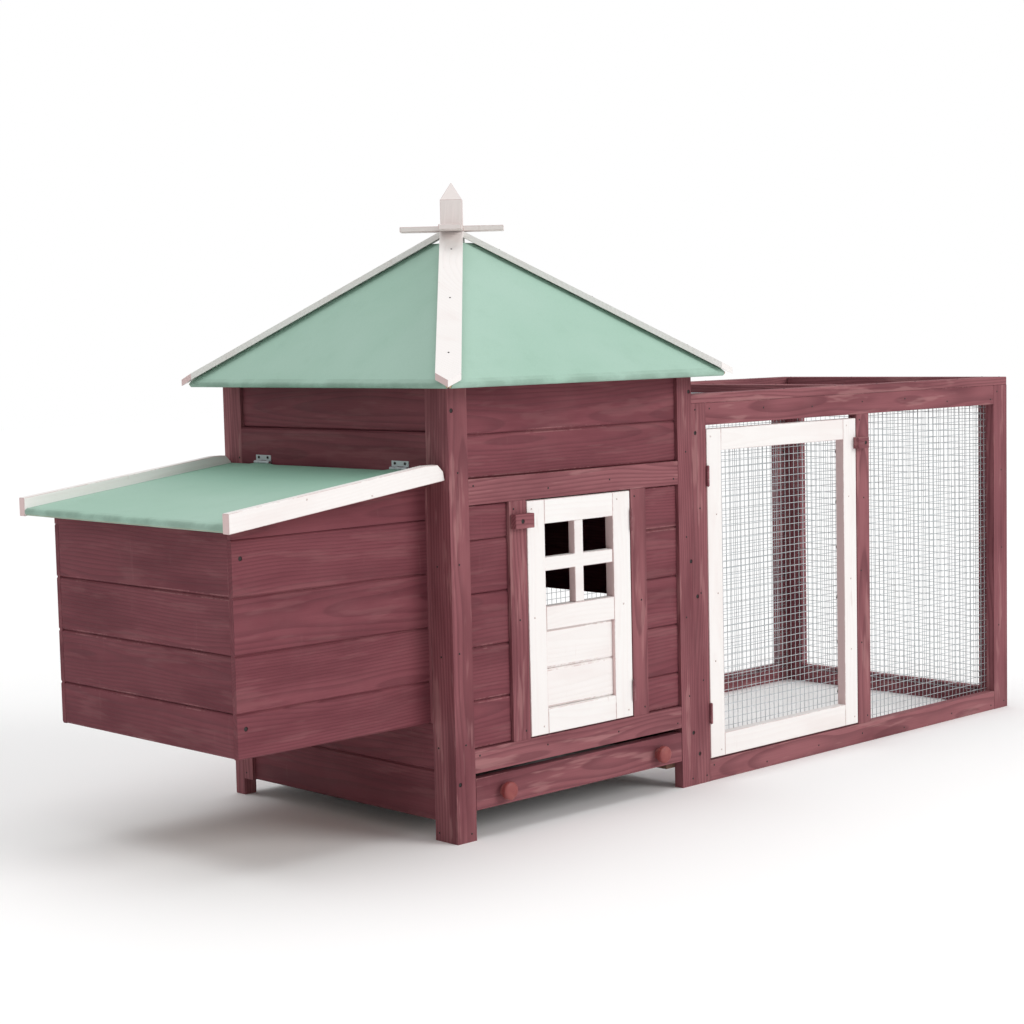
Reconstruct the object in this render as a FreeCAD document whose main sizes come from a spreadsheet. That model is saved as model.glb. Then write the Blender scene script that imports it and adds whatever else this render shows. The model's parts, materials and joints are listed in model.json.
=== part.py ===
"""Chicken coop: a timber hen house with a pyramid roof, a nest box and a wire run.

The house frame of reference has x = 0 on the outside of the left wall, y = 0 on the front face
and z = 0 on the ground, with +X to the right and +Y to the back.  Every piece is placed in it,
and then moved so that the origin lies under the middle of the whole coop.
"""
import FreeCAD, Part
import math
import os
from types import SimpleNamespace

import Sketcher

DIMENSIONS = (
    # hen house
    ("house_width", 560, "outside of the left wall to outside of the right wall"),
    ("house_depth", 570, "front face to rear face"),
    ("frame_thick", 18, "thickness of the frame timber of every panel"),
    ("post_top", 728, "top of the corner posts, hidden under the roof"),
    ("wall_top", 714, "top edge of the wall boards, where the plates sit"),
    ("board_thick", 10, "thickness of a wall board"),
    ("board_recess", 6, "how far the boards lie behind the face of their frame"),
    ("board_gap", 0.1, "open joint between one board and the next"),
    ("board_chamfer", 2.8, "chamfer on the long outer edges of a board"),
    ("board_pitch", 83.5, "height of a full wall board"),
    ("left_stile_width", 40, "front panel, left stile"),
    ("right_stile_width", 36, "front panel, right stile"),
    ("side_stile_width", 33, "left wall, front stile"),
    ("side_rear_stile_width", 24, "left wall, rear stile"),
    ("rear_post_size", 25, "square posts at the rear corners"),
    ("sill_bottom", 105, "underside of the front sill rail"),
    ("sill_height", 37, "height of the front sill rail"),
    ("lintel_bottom", 523, "underside of the rail over the door"),
    ("lintel_height", 40, "height of the rail over the door"),
    ("door_opening_left", 162, "left side of the house door opening"),
    ("door_opening_width", 242, "width of the house door opening"),
    ("door_post_width", 37, "posts on each side of the house door"),
    ("left_first_board", 75, "lowest board left of the door"),
    ("right_first_board", 58, "lowest board right of the door"),
    ("top_first_board", 68, "lowest board over the door"),
    ("skirt_bottom", 29, "lower edge of the left wall boards"),
    ("skirt_height", 80, "lowest board of the left wall"),
    ("nest_head_top", 553, "lower edge of the left wall boards over the nest lid"),
    ("rear_bottom", 34, "lower edge of the rear wall boards"),
    ("partition_stile_width", 13, "right wall, front and rear stile"),
    ("pop_hole_front", 165, "front side of the pop hole to the run"),
    ("pop_hole_width", 240, "width of the pop hole"),
    ("pop_hole_top", 320, "top of the pop hole"),
    ("pop_batten_width", 25, "battens beside the pop hole"),
    ("pop_batten_thick", 8, "battens beside the pop hole"),
    # roof
    ("eave_side", 42, "roof overhang on the left and the right"),
    ("eave_front", 50, "roof overhang at the front and the back"),
    ("eave_top", 711, "upper edge of the roof at the eaves"),
    ("roof_top", 938, "height where the roof panels end at the king post"),
    ("roof_top_half", 27, "half the square hole at the top of the roof"),
    ("roof_ply", 6, "thickness of the roof boards"),
    ("felt_thick", 2, "thickness of the roofing felt"),
    ("felt_wrap", 20, "how far the felt goes back under the eave"),
    ("hip_gap", 1.5, "half the open joint along each hip"),
    ("corner_clip", 10, "cut-off corner of a roof panel, along the eave"),
    ("hip_trim_width", 39, "white trim over a hip"),
    ("hip_trim_thick", 9.5, "white trim over a hip"),
    ("hip_trim_overhang", 4, "how far a hip trim passes the eave"),
    # finial
    ("king_post_side", 37, "square king post, turned by 45 degrees"),
    ("king_post_bottom", 880, "lower end of the king post inside the roof"),
    ("slat_bottom", 958, "underside of the crossed slats"),
    ("slat_thick", 9, "crossed slats"),
    ("slat_width", 38, "crossed slats"),
    ("slat_length", 175, "crossed slats"),
    ("finial_body", 44, "square part of the finial over the slats"),
    ("finial_point", 29, "pyramid on top of the finial"),
    ("finial_tip", 1, "blunt tip of the pyramid"),
    # nest box and its lid
    ("nest_length", 369, "how far the nest box stands out to the left"),
    ("nest_front", 56, "outside of the front side of the nest box"),
    ("nest_width", 466, "outside width of the nest box"),
    ("nest_bottom", 184, "underside of the nest box"),
    ("nest_first_board", 66, "lowest board of the nest box"),
    ("nest_pitch", 84, "height of a full nest box board"),
    ("nest_floor_raise", 4, "nest floor above the lower edge of the boards"),
    ("nest_floor_thick", 9, "nest floor"),
    ("nest_jamb_width", 40, "jambs of the opening from the house to the nest box"),
    ("nest_rail_height", 38, "rails of the opening from the house to the nest box"),
    ("nest_batten_size", 25, "battens in the outer corners of the nest box"),
    ("nest_seat_gap", 1, "gap between the nest box and its closed lid"),
    ("lid_front_edge", 407, "distance of the lid's outer edge from the left wall"),
    ("lid_rear_gap", 5, "gap between the lid board and the left wall"),
    ("lid_near", 8, "outside of the lid's front trim"),
    ("lid_width", 554, "lid over both trims"),
    ("lid_low", 515, "underside of the lid at its outer edge"),
    ("lid_rise", 49, "rise of the lid's underside over its whole length"),
    ("lid_ply", 8, "lid board"),
    ("lid_trim_thick", 15, "trims on both sides of the lid"),
    ("lid_trim_height", 29, "trims on both sides of the lid"),
    ("lid_trim_end_gap", 1, "lower rear end of a lid trim to the left wall"),
    ("lid_trim_level", 588.5, "level cut on top of a lid trim"),
    ("lid_trim_level_end", 14.5, "rear end of the level cut, from the left wall"),
    ("lid_trim_nose", 4, "rear end of the slanted cut, from the left wall"),
    ("lid_trim_nose_level", 578, "height of the lower end of the slanted cut"),
    # run
    ("run_length", 968, "wire run, house side to outer end"),
    ("run_height", 658, "height of the run panels"),
    ("run_roof_thick", 16, "frame of the flat run roof"),
    ("run_roof_rail", 38, "width of the rails of the run roof"),
    ("run_left_stile", 37, "left stile of the front and rear panels"),
    ("run_middle_start", 464, "house side to the middle stile"),
    ("run_middle_stile", 38, "middle stile of the front and rear panels"),
    ("run_right_stile", 47, "right stile of the front and rear panels"),
    ("run_bottom_rail", 37, "height of the bottom rails"),
    ("run_top_rail", 38, "height of the top rails"),
    ("run_end_stile", 38, "stiles of the end panel"),
    ("fixing_batten_width", 20, "battens that hold the run on the house, along X"),
    ("fixing_batten_depth", 25, "battens that hold the run on the house, along Y"),
    ("mesh_thick", 1.8, "two crossed layers of 0.9 mm wire"),
    ("mesh_lap", 10, "how far the mesh laps onto its frame"),
    ("mesh_corner_gap", 3, "mesh to mesh in the corners of the run"),
    # doors
    ("door_gap", 2, "gap round the doors"),
    ("house_stile_left", 39, "house door, left stile"),
    ("house_stile_right", 41, "house door, right stile"),
    ("house_top_rail", 39, "house door, top rail"),
    ("house_middle_rail", 38, "house door, middle rail"),
    ("house_bottom_rail", 40, "house door, bottom rail"),
    ("house_panel_height", 127, "house door, boards below the middle rail"),
    ("panel_thick", 8, "house door, boards below the middle rail"),
    ("bar_width", 20, "house door, upright window bar"),
    ("bar_height", 22, "house door, level window bar"),
    ("bar_inset", 2, "window bars behind the face of the door"),
    ("bar_drop", 54, "window head to the level bar"),
    ("run_door_bottom", 40, "lower edge of the run door"),
    ("run_door_height", 573, "height of the run door"),
    ("run_door_stile", 38, "run door, both stiles"),
    ("run_door_bottom_rail", 40, "run door, bottom rail"),
    ("run_door_top_rail", 38, "run door, top rail"),
    # door hinges
    ("leaf_height", 35, "door hinge, height"),
    ("leaf_depth", 14, "door hinge, leaf depth in the joint"),
    ("leaf_thick", 0.8, "door hinge, leaf"),
    ("barrel_stand", 3, "door hinge, pin in front of the door face"),
    ("barrel_radius", 2.5, "door hinge, barrel"),
    ("knuckle_height", 11, "door hinge, outer knuckles"),
    ("knuckle_gap", 0.5, "hinges, gap between knuckles"),
    ("pin_radius", 1.2, "hinge pin"),
    ("pin_play", 0.05, "hinge pin, radial play in the moving knuckle"),
    ("pin_excess", 1, "hinge pin past each end of the barrel"),
    ("house_hinge_low", 170, "lower house door hinge"),
    ("house_hinge_high", 455, "upper house door hinge"),
    ("run_hinge_low", 102, "lower run door hinge"),
    ("run_hinge_high", 515, "upper run door hinge"),
    # lid hinges
    ("lid_hinge_near", 91, "front lid hinge, along Y"),
    ("lid_hinge_far", 440, "rear lid hinge, along Y"),
    ("lid_leaf_width", 40, "lid hinge, width along Y"),
    ("lid_leaf_thick", 1.2, "lid hinge, leaf"),
    ("lid_leaf_height", 12, "lid hinge, wall leaf above the pin"),
    ("lid_leaf_reach", 26, "lid hinge, lid leaf under the board"),
    ("lid_barrel_radius", 3, "lid hinge, barrel"),
    ("lid_pin_out", 3.6, "lid hinge pin to the left wall"),
    ("lid_pin_height", 579, "lid hinge pin above the ground"),
    ("lid_knuckle", 12.5, "lid hinge, outer knuckles"),
    # droppings tray
    ("tray_gap", 1, "tray front to the stiles"),
    ("tray_bottom", 47, "lower edge of the tray front"),
    ("tray_front_height", 50, "height of the tray front"),
    ("pan_wall", 1, "sheet of the pan"),
    ("pan_height", 30, "pan walls"),
    ("pan_length", 520, "pan, front to back"),
    ("pan_side_gap", 4, "pan to the stiles on each side"),
    ("runner_bottom", 34, "underside of the tray runners"),
    ("runner_height", 24, "tray runners"),
    ("runner_width", 40, "tray runners"),
    ("runner_play", 0.5, "gap between the pan and its runners"),
    ("knob_inset", 61, "knob axis to the side of the house"),
    ("knob_right_inset", 97, "right knob axis to the right wall"),
    ("knob_level", 70, "knob axis above the ground"),
    ("knob_radius", 14.5, "wooden knob"),
    ("knob_neck", 8, "neck radius of a knob"),
    ("knob_neck_length", 7, "length of the neck of a knob"),
    ("knob_head", 11, "thickness of the head of a knob"),
    ("knob_round", 3, "rounding of the head of a knob"),
    # turn buttons
    ("button_thick", 12, "wooden turn buttons"),
    ("button_play", 0.3, "turn button to the face of its post"),
    ("button_round", 1.5, "rounded edges of a turn button"),
    ("house_button_left", 128, "house door button, left end"),
    ("house_button_length", 41, "house door button"),
    ("house_button_height", 23, "house door button"),
    ("house_pivot_side", 143.5, "house door button, screw"),
    ("house_pivot_level", 491, "house door button, screw"),
    ("run_button_left", 454.5, "run door button, left end from the house"),
    ("run_button_length", 33, "run door button"),
    ("run_button_height", 21, "run door button"),
    ("run_pivot_side", 477, "run door button, screw from the house"),
    ("run_pivot_level", 567, "run door button, screw"),
    # screws
    ("screw_length", 27, "wood screws"),
    ("screw_radius", 1.6, "shank of a wood screw"),
    ("screw_head_radius", 3.3, "head of a wood screw"),
    ("screw_head_height", 2, "head of a wood screw"),
    ("screw_tip", 4, "point of a wood screw"),
    ("sink_radius", 3.6, "counterbore of a wood screw"),
    ("sink_depth", 3, "counterbore of a wood screw"),
    ("corner_screw_inset", 8, "left post screws to the outside of the house"),
    ("left_screw_high", 670, "left post screws, above the ground"),
    ("left_screw_low", 93, "left post screws, above the ground"),
    ("right_screw_inset", 6, "right post screws to the outside of the house"),
    ("right_screw_high", 679, "right post screws, above the ground"),
    ("right_screw_middle", 389, "right post screws, above the ground"),
    ("right_screw_low", 92, "right post screws, above the ground"),
    ("run_screw_inset", 9.5, "run screws to the side of the house"),
    ("run_screw_high", 608, "run screws, above the ground"),
    ("run_screw_middle", 327, "run screws, above the ground"),
    ("run_screw_low", 53, "run screws, above the ground"),
    ("nest_screw_inset", 15, "nest box screws to its outer face"),
    ("nest_screw_high", 474, "nest box screws, above the ground"),
    ("nest_screw_low", 228, "nest box screws, above the ground"),
    ("small_screw_radius", 1.1, "shank of a hinge screw"),
    ("small_head_radius", 2.2, "head of a hinge screw"),
    ("small_head_height", 0.9, "head of a hinge screw"),
    ("small_screw_length", 9, "hinge screws, under the head"),
    ("small_screw_inset", 8, "hinge screws to the end of their leaf"),
    ("small_screw_drop", 4, "hinge screws to the top of their leaf"),
)

doc = FreeCAD.newDocument("chicken_coop")
sheet = doc.addObject("Spreadsheet::Sheet", "dims")


class Size:
    """A length with its number and the expression that binds it to the sheet."""

    def __init__(self, number, text):
        self.number = float(number)
        self.text = text

    def _with(self, other, sign, number):
        return Size(number, f"({self.text} {sign} {size(other).text})")

    def __add__(self, other):
        return self._with(other, "+", self.number + size(other).number)

    def __sub__(self, other):
        return self._with(other, "-", self.number - size(other).number)

    def __mul__(self, other):
        return self._with(other, "*", self.number * size(other).number)

    def __truediv__(self, other):
        return self._with(other, "/", self.number / size(other).number)

    def __radd__(self, other):
        return size(other) + self

    def __rsub__(self, other):
        return size(other) - self

    def __rmul__(self, other):
        return size(other) * self

    def __rtruediv__(self, other):
        return size(other) / self

    def __neg__(self):
        return size(0) - self


def size(value):
    """Any number as a Size."""
    return value if isinstance(value, Size) else Size(value, f"({float(value)!r})")


def square_root(value):
    return Size(math.sqrt(value.number), f"sqrt({value.text})")


def slope_angle(rise, run):
    """Angle in degrees whose tangent is rise / run."""
    ratio = rise / run
    return Size(math.degrees(math.atan(ratio.number)), f"atan({ratio.text})")


def fill_sheet():
    """Writes one row for each driving dimension and returns them as Sizes."""
    sizes = {}
    for row, (alias, number, note) in enumerate(DIMENSIONS, start=1):
        sheet.set(f"A{row}", alias)
        sheet.set(f"B{row}", str(number))
        sheet.set(f"C{row}", note)
        sheet.setAlias(f"B{row}", alias)
        sizes[alias] = Size(number, f"dims.{alias}")
    doc.recompute()
    return SimpleNamespace(**sizes)


d = fill_sheet()
ZERO = size(0)

# derived places, all in the house frame
RUN_START = d.house_width
RUN_END = d.house_width + d.run_length
CENTRE_X = (RUN_END - d.lid_front_edge) / 2
CENTRE_Y = d.house_depth / 2
CENTRE_X_HOUSE = d.house_width / 2
REAR_INNER = d.house_depth - d.frame_thick
SILL_TOP = d.sill_bottom + d.sill_height
LINTEL_TOP = d.lintel_bottom + d.lintel_height
DOOR_RIGHT = d.door_opening_left + d.door_opening_width
RIGHT_STILE = d.house_width - d.right_stile_width
NEST_REAR = d.nest_front + d.nest_width
LID_FAR = d.lid_near + d.lid_width
RUN_TOP_RAIL = d.run_height - d.run_top_rail
RUN_RIGHT_STILE = RUN_END - d.run_right_stile
RUN_MIDDLE = RUN_START + d.run_middle_start

NODES = {}


# ---------------------------------------------------------------- document helpers
def bind(obj, **sizes):
    """Binds properties to the sheet; a double underscore in a name stands for a dot."""
    for name, value in sizes.items():
        obj.setExpression(name.replace("__", "."), size(value).text)
    return obj


def put(obj, x, y, z):
    """Places an object at a point of the house frame."""
    return bind(
        obj,
        Placement__Base__x=size(x) - CENTRE_X,
        Placement__Base__y=size(y) - CENTRE_Y,
        Placement__Base__z=size(z),
    )


def turn(obj, axis, degrees):
    """Turns an object about its own origin, by a fixed or a bound angle."""
    angle = size(degrees)
    obj.Placement = FreeCAD.Placement(
        FreeCAD.Vector(0, 0, 0), FreeCAD.Rotation(FreeCAD.Vector(*axis), angle.number)
    )
    if "dims" in angle.text:
        obj.setExpression("Placement.Rotation.Angle", angle.text)
    return obj


def block(name, x, y, z, length, width, height):
    """A plain squared piece: corner point and sizes along X, Y and Z."""
    obj = doc.addObject("Part::Box", name)
    bind(obj, Length=length, Width=width, Height=height)
    return put(obj, x, y, z)


def rod(name, x, y, z, radius, height, axis=None, degrees=0):
    """A cylinder along +Z, or turned about an axis through its end."""
    obj = doc.addObject("Part::Cylinder", name)
    if axis:
        turn(obj, axis, degrees)
    bind(obj, Radius=radius, Height=height)
    return put(obj, x, y, z)


PLANES = {"plan": "XY_Plane", "front": "XZ_Plane", "side": "YZ_Plane"}


def sketch_on(body, plane, outline):
    """A closed outline whose corners are held by bound distances from the body's origin."""
    sketch = body.newObject("Sketcher::SketchObject", body.Name + "_outline")
    role = PLANES[plane]
    origin_plane = next(f for f in body.Origin.OriginFeatures if f.Role == role)
    sketch.AttachmentSupport = [(origin_plane, "")]
    sketch.MapMode = "FlatFace"
    corners = [(size(u), size(v)) for u, v in outline]
    count = len(corners)
    for index, (u, v) in enumerate(corners):
        after_u, after_v = corners[(index + 1) % count]
        start = FreeCAD.Vector(u.number, v.number, 0)
        end = FreeCAD.Vector(after_u.number, after_v.number, 0)
        sketch.addGeometry(Part.LineSegment(start, end), False)
    for index in range(count):
        sketch.addConstraint(Sketcher.Constraint("Coincident", index, 2, (index + 1) % count, 1))
    for index, corner in enumerate(corners):
        for kind, other_axis, value in zip(("DistanceX", "DistanceY"), (-2, -1), corner):
            if value.number == 0:
                sketch.addConstraint(Sketcher.Constraint("PointOnObject", index, 1, other_axis))
                continue
            number = sketch.addConstraint(
                Sketcher.Constraint(kind, -1, 1, index, 1, value.number)
            )
            sketch.setExpression(f"Constraints[{number}]", value.text)
    return sketch


def prism(name, plane, outline, length, x, y, z):
    """A body padded from an outline: up from "plan", to the back from "front", to the
    right from "side"."""
    body = doc.addObject("PartDesign::Body", name)
    sketch = sketch_on(body, plane, outline)
    pad = body.newObject("PartDesign::Pad", name + "_pad")
    pad.Profile = sketch
    pad.Reversed = plane == "front"
    bind(pad, Length=length)
    return put(body, x, y, z)


def turned(name, outline, x, y, z, axis=None, degrees=0):
    """A body turned on a lathe: outline of (radius, height) about its own Z axis."""
    body = doc.addObject("PartDesign::Body", name)
    sketch = sketch_on(body, "front", outline)
    revolution = body.newObject("PartDesign::Revolution", name + "_turned")
    revolution.Profile = sketch
    revolution.ReferenceAxis = (sketch, ["V_Axis"])
    revolution.Angle = 360
    if axis:
        turn(body, axis, degrees)
    return put(body, x, y, z)


def combine(kind, name, base, tool):
    obj = doc.addObject(kind, name)
    obj.Base = base
    obj.Tool = tool
    return obj


def cut(name, base, tool):
    return combine("Part::Cut", name, base, tool)


def fuse(name, base, tool):
    return combine("Part::Fuse", name, base, tool)


def common(name, base, tool):
    return combine("Part::Common", name, base, tool)


def gather(name, pieces):
    """Several separate solids as one object."""
    obj = doc.addObject("Part::Compound", name)
    obj.Links = pieces
    return obj


def node(label, *pieces):
    """Names a sub-part and lists it for export."""
    obj = pieces[0] if len(pieces) == 1 else gather(label, list(pieces))
    obj.Label = label
    NODES[label] = obj
    return obj


# ---------------------------------------------------------------- boards
def board_section(thick, height, outer_first):
    """Section of a wall board, (depth, height), with chamfered long edges outside."""
    chamfer = d.board_chamfer
    if outer_first:
        return (
            (chamfer, ZERO),
            (thick, ZERO),
            (thick, height),
            (chamfer, height),
            (ZERO, height - chamfer),
            (ZERO, chamfer),
        )
    return (
        (ZERO, ZERO),
        (thick - chamfer, ZERO),
        (thick, chamfer),
        (thick, height - chamfer),
        (thick - chamfer, height),
        (ZERO, height),
    )


def board(name, facing, x, y, z, length, height, thick=None):
    """A board whose outer face looks "front", "rear", "left" or "right"."""
    clear = height - d.board_gap
    section = board_section(thick or d.board_thick, clear, facing in ("front", "left"))
    if facing in ("front", "rear"):
        return prism(name, "side", section, length, x, y, z)
    return prism(name, "front", section, length, x, y, z)


def board_column(name, facing, x, y, z, length, heights):
    """Boards one above the other."""
    boards = []
    for index, height in enumerate(heights):
        boards.append(board(f"{name}_{index}", facing, x, y, z, length, height))
        z = z + height
    return boards


# ---------------------------------------------------------------- screws
SCREWS = []


def screw_outline():
    shank_end = d.screw_length - d.screw_tip
    return (
        (ZERO, ZERO),
        (d.screw_head_radius, ZERO),
        (d.screw_head_radius, d.screw_head_height),
        (d.screw_radius, d.screw_head_height),
        (d.screw_radius, shank_end),
        (ZERO, d.screw_length),
    )


def screw(name, x, y, z, backward=False):
    """A wood screw set in from the front (or from the back) and the drill for its hole.

    The head lies at the bottom of a counterbore that starts at the given point."""
    degrees = 90 if backward else -90
    sign = -1 if backward else 1
    head = y + sign * (d.sink_depth - d.screw_head_height)
    SCREWS.append(turned(name, screw_outline(), x, head, z, (1, 0, 0), degrees))
    sink = rod(name + "_sink", x, y, z, d.sink_radius, d.sink_depth, (1, 0, 0), degrees)
    bore_length = d.screw_length - d.screw_tip
    bore = rod(name + "_bore", x, head, z, d.screw_radius, bore_length, (1, 0, 0), degrees)
    tip = doc.addObject("Part::Cone", name + "_tip")
    turn(tip, (1, 0, 0), degrees)
    bind(tip, Radius1=d.screw_radius, Radius2=ZERO, Height=d.screw_tip)
    put(tip, x, head + sign * bore_length, z)
    return [sink, bore, tip]


# ---------------------------------------------------------------- hen house
def front_wall():
    """Stiles, rails, door posts and boards of the front, and its screws."""
    post_drills = []
    for index, level in enumerate((d.left_screw_high, d.left_screw_low)):
        post_drills += screw(f"left_post_screw_{index}", d.corner_screw_inset, ZERO, level)
    right_drills = []
    right_x = d.house_width - d.right_screw_inset
    right_levels = (d.right_screw_high, d.right_screw_middle, d.right_screw_low)
    for index, level in enumerate(right_levels):
        right_drills += screw(f"right_post_screw_{index}", right_x, ZERO, level)

    left = block("stile_left", ZERO, ZERO, ZERO, d.left_stile_width, d.frame_thick, d.post_top)
    right = block(
        "stile_right", RIGHT_STILE, ZERO, ZERO, d.right_stile_width, d.frame_thick, d.post_top
    )
    left_tools = gather("left_post_drills", post_drills)
    right_tools = gather("right_post_drills", right_drills)
    node(
        "front_stiles",
        cut("stile_left_drilled", left, left_tools),
        cut("stile_right_drilled", right, right_tools),
    )

    inner = RIGHT_STILE - d.left_stile_width
    node(
        "front_rails",
        block("sill", d.left_stile_width, ZERO, d.sill_bottom, inner, d.frame_thick, d.sill_height),
        block(
            "lintel", d.left_stile_width, ZERO, d.lintel_bottom,
            inner, d.frame_thick, d.lintel_height,
        ),
    )

    post_left = d.door_opening_left - d.door_post_width
    post_height = d.lintel_bottom - SILL_TOP
    button_drills = gather("house_button_drills", house_button_screw())
    node(
        "front_door_posts",
        cut(
            "door_post_left",
            block(
                "door_post_left_blank", post_left, ZERO, SILL_TOP,
                d.door_post_width, d.frame_thick, post_height,
            ),
            button_drills,
        ),
        block(
            "door_post_right", DOOR_RIGHT, ZERO, SILL_TOP,
            d.door_post_width, d.frame_thick, post_height,
        ),
    )

    recess = d.board_recess
    boards = []
    columns = (
        ("left", d.left_stile_width, post_left - d.left_stile_width, d.left_first_board),
        (
            "right", DOOR_RIGHT + d.door_post_width,
            RIGHT_STILE - DOOR_RIGHT - d.door_post_width, d.right_first_board,
        ),
    )
    for side, x, length, first in columns:
        last = post_height - first - 3 * d.board_pitch
        heights = [first] + [d.board_pitch] * 3 + [last]
        boards += board_column(f"front_{side}_board", "front", x, recess, SILL_TOP, length, heights)
    top_heights = [d.top_first_board, d.wall_top - LINTEL_TOP - d.top_first_board]
    boards += board_column(
        "front_top_board", "front", d.left_stile_width, recess, LINTEL_TOP, inner, top_heights
    )
    node("front_boards", *boards)
    return left_tools, right_tools


def left_wall(post_drills, lid_drills):
    """Stiles and boards of the left wall, with the opening to the nest box.

    The board over the lid is flush with the stiles, because the lid hinges are on it."""
    near = d.frame_thick + d.side_stile_width
    far = d.house_depth - d.rear_post_size - d.side_rear_stile_width
    node(
        "left_stiles",
        cut(
            "left_stile_front",
            block(
                "left_stile_front_blank", ZERO, d.frame_thick, ZERO,
                d.frame_thick, d.side_stile_width, d.post_top,
            ),
            post_drills,
        ),
        block(
            "left_stile_rear", ZERO, far, d.skirt_bottom,
            d.frame_thick, d.side_rear_stile_width, d.post_top - d.skirt_bottom,
        ),
    )

    length = far - near
    lower = [d.skirt_height, d.nest_bottom - d.skirt_bottom - d.skirt_height]
    upper = d.wall_top - d.nest_head_top - d.board_pitch
    boards = board_column(
        "skirt_board", "left", d.board_recess, near, d.skirt_bottom, length, lower
    )
    hinge_board = board(
        "hinge_board", "left", ZERO, near, d.nest_head_top,
        length, d.board_pitch, d.board_thick + d.board_recess,
    )
    boards.append(cut("hinge_board_drilled", hinge_board, lid_drills))
    top_z = d.nest_head_top + d.board_pitch
    boards.append(board("left_board_top", "left", d.board_recess, near, top_z, length, upper))
    node("left_boards", *boards)

    jamb_height = d.nest_head_top - d.nest_bottom
    jambs = [
        block(f"nest_jamb_{index}", ZERO, y, d.nest_bottom, d.frame_thick, d.nest_jamb_width, jamb_height)
        for index, y in enumerate((near, far - d.nest_jamb_width))
    ]
    node("nest_opening_jambs", *jambs)
    rail_length = length - 2 * d.nest_jamb_width
    levels = (d.nest_bottom, d.nest_head_top - d.nest_rail_height)
    rails = [
        block(
            f"nest_rail_{index}", ZERO, near + d.nest_jamb_width, level,
            d.frame_thick, rail_length, d.nest_rail_height,
        )
        for index, level in enumerate(levels)
    ]
    node("nest_opening_rails", *rails)


def rear_wall():
    """Square corner posts with boards between them."""
    post = d.rear_post_size
    y = d.house_depth - post
    posts = [
        block(f"rear_post_{index}", x, y, ZERO, post, post, d.post_top)
        for index, x in enumerate((ZERO, d.house_width - post))
    ]
    node("rear_posts", *posts)
    count = 8
    pitch = (d.wall_top - d.rear_bottom) / count
    board_y = d.house_depth - d.board_recess - d.board_thick
    boards = board_column(
        "rear_board", "rear", post, board_y, d.rear_bottom, d.house_width - 2 * post, [pitch] * count
    )
    node("rear_boards", *boards)


def partition(post_drills):
    """Right wall between the house and the run, with the pop hole."""
    near = d.frame_thick + d.partition_stile_width
    far = d.house_depth - d.rear_post_size - d.partition_stile_width
    x = d.house_width - d.frame_thick
    node(
        "partition_stiles",
        cut(
            "partition_stile_front",
            block(
                "partition_stile_front_blank", x, d.frame_thick, ZERO,
                d.frame_thick, d.partition_stile_width, d.post_top,
            ),
            post_drills,
        ),
        block(
            "partition_stile_rear", x, far, ZERO,
            d.frame_thick, d.partition_stile_width, d.post_top,
        ),
    )
    board_x = d.house_width - d.board_recess - d.board_thick
    pop_rear = d.pop_hole_front + d.pop_hole_width
    low_rows = 3
    low_pitch = (d.pop_hole_top - d.sill_bottom) / low_rows
    low = [low_pitch] * low_rows
    high_rows = 5
    high = [(d.wall_top - d.pop_hole_top) / high_rows] * high_rows
    boards = board_column(
        "partition_near", "right", board_x, near, d.sill_bottom, d.pop_hole_front - near, low
    )
    boards += board_column(
        "partition_far", "right", board_x, pop_rear, d.sill_bottom, far - pop_rear, low
    )
    boards += board_column(
        "partition_top", "right", board_x, near, d.pop_hole_top, far - near, high
    )
    boards += board_column(
        "partition_skirt", "right", board_x, near, d.skirt_bottom, far - near,
        [d.sill_bottom - d.skirt_bottom],
    )
    node("partition_boards", *boards)
    batten_x = board_x - d.pop_batten_thick
    batten_height = d.pop_hole_top - d.sill_bottom + high[0]
    battens = [
        block(
            f"pop_batten_{index}", batten_x, y, d.sill_bottom,
            d.pop_batten_thick, d.pop_batten_width, batten_height,
        )
        for index, y in enumerate((d.pop_hole_front - d.pop_batten_width, pop_rear))
    ]
    node("pop_hole_battens", *battens)


# ---------------------------------------------------------------- roof
HALF_X = d.house_width / 2 + d.eave_side
HALF_Y = d.house_depth / 2 + d.eave_front
ROOF_RISE = d.roof_top - d.eave_top
ROOF_THICK = d.roof_ply + 2 * d.felt_thick
PAST_RIDGE = 1.05  # an uncut panel over its true depth
PAST_REACH = 1.2  # the mirror line of the far panels over that depth
TRIM_OVERRUN = 1.5  # an uncut hip trim past the middle of the top opening


def roof_slope(half):
    """Tangent of the slope of the panels whose eave is this far from the middle."""
    return ROOF_RISE / (half - d.roof_top_half)


def wall_plates():
    """Bevelled rails on the walls that the roof boards rest on."""
    plates = []
    for name, half, overhang, length, near in (
        ("front", HALF_Y, d.eave_front, RIGHT_STILE - d.left_stile_width, d.left_stile_width),
        (
            "side", HALF_X, d.eave_side,
            d.house_depth - 2 * (d.frame_thick + d.side_stile_width),
            d.frame_thick + d.side_stile_width,
        ),
    ):
        slope = roof_slope(half)
        lean = square_root(1 + slope * slope)
        underside = d.eave_top + overhang * slope - (d.roof_ply + d.felt_thick) * lean
        outer = underside - d.wall_top
        inner = outer + d.frame_thick * slope
        near_outline = ((ZERO, ZERO), (d.frame_thick, ZERO), (d.frame_thick, inner), (ZERO, outer))
        far_outline = ((ZERO, ZERO), (d.frame_thick, ZERO), (d.frame_thick, outer), (ZERO, inner))
        if name == "front":
            plates.append(prism("plate_front", "side", near_outline, length, near, ZERO, d.wall_top))
            plates.append(prism("plate_rear", "side", far_outline, length, near, REAR_INNER, d.wall_top))
        else:
            right_x = d.house_width - d.frame_thick
            plates.append(prism("plate_left", "front", near_outline, length, ZERO, near, d.wall_top))
            plates.append(prism("plate_right", "front", far_outline, length, right_x, near, d.wall_top))
    node("wall_plates", *plates)


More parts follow.
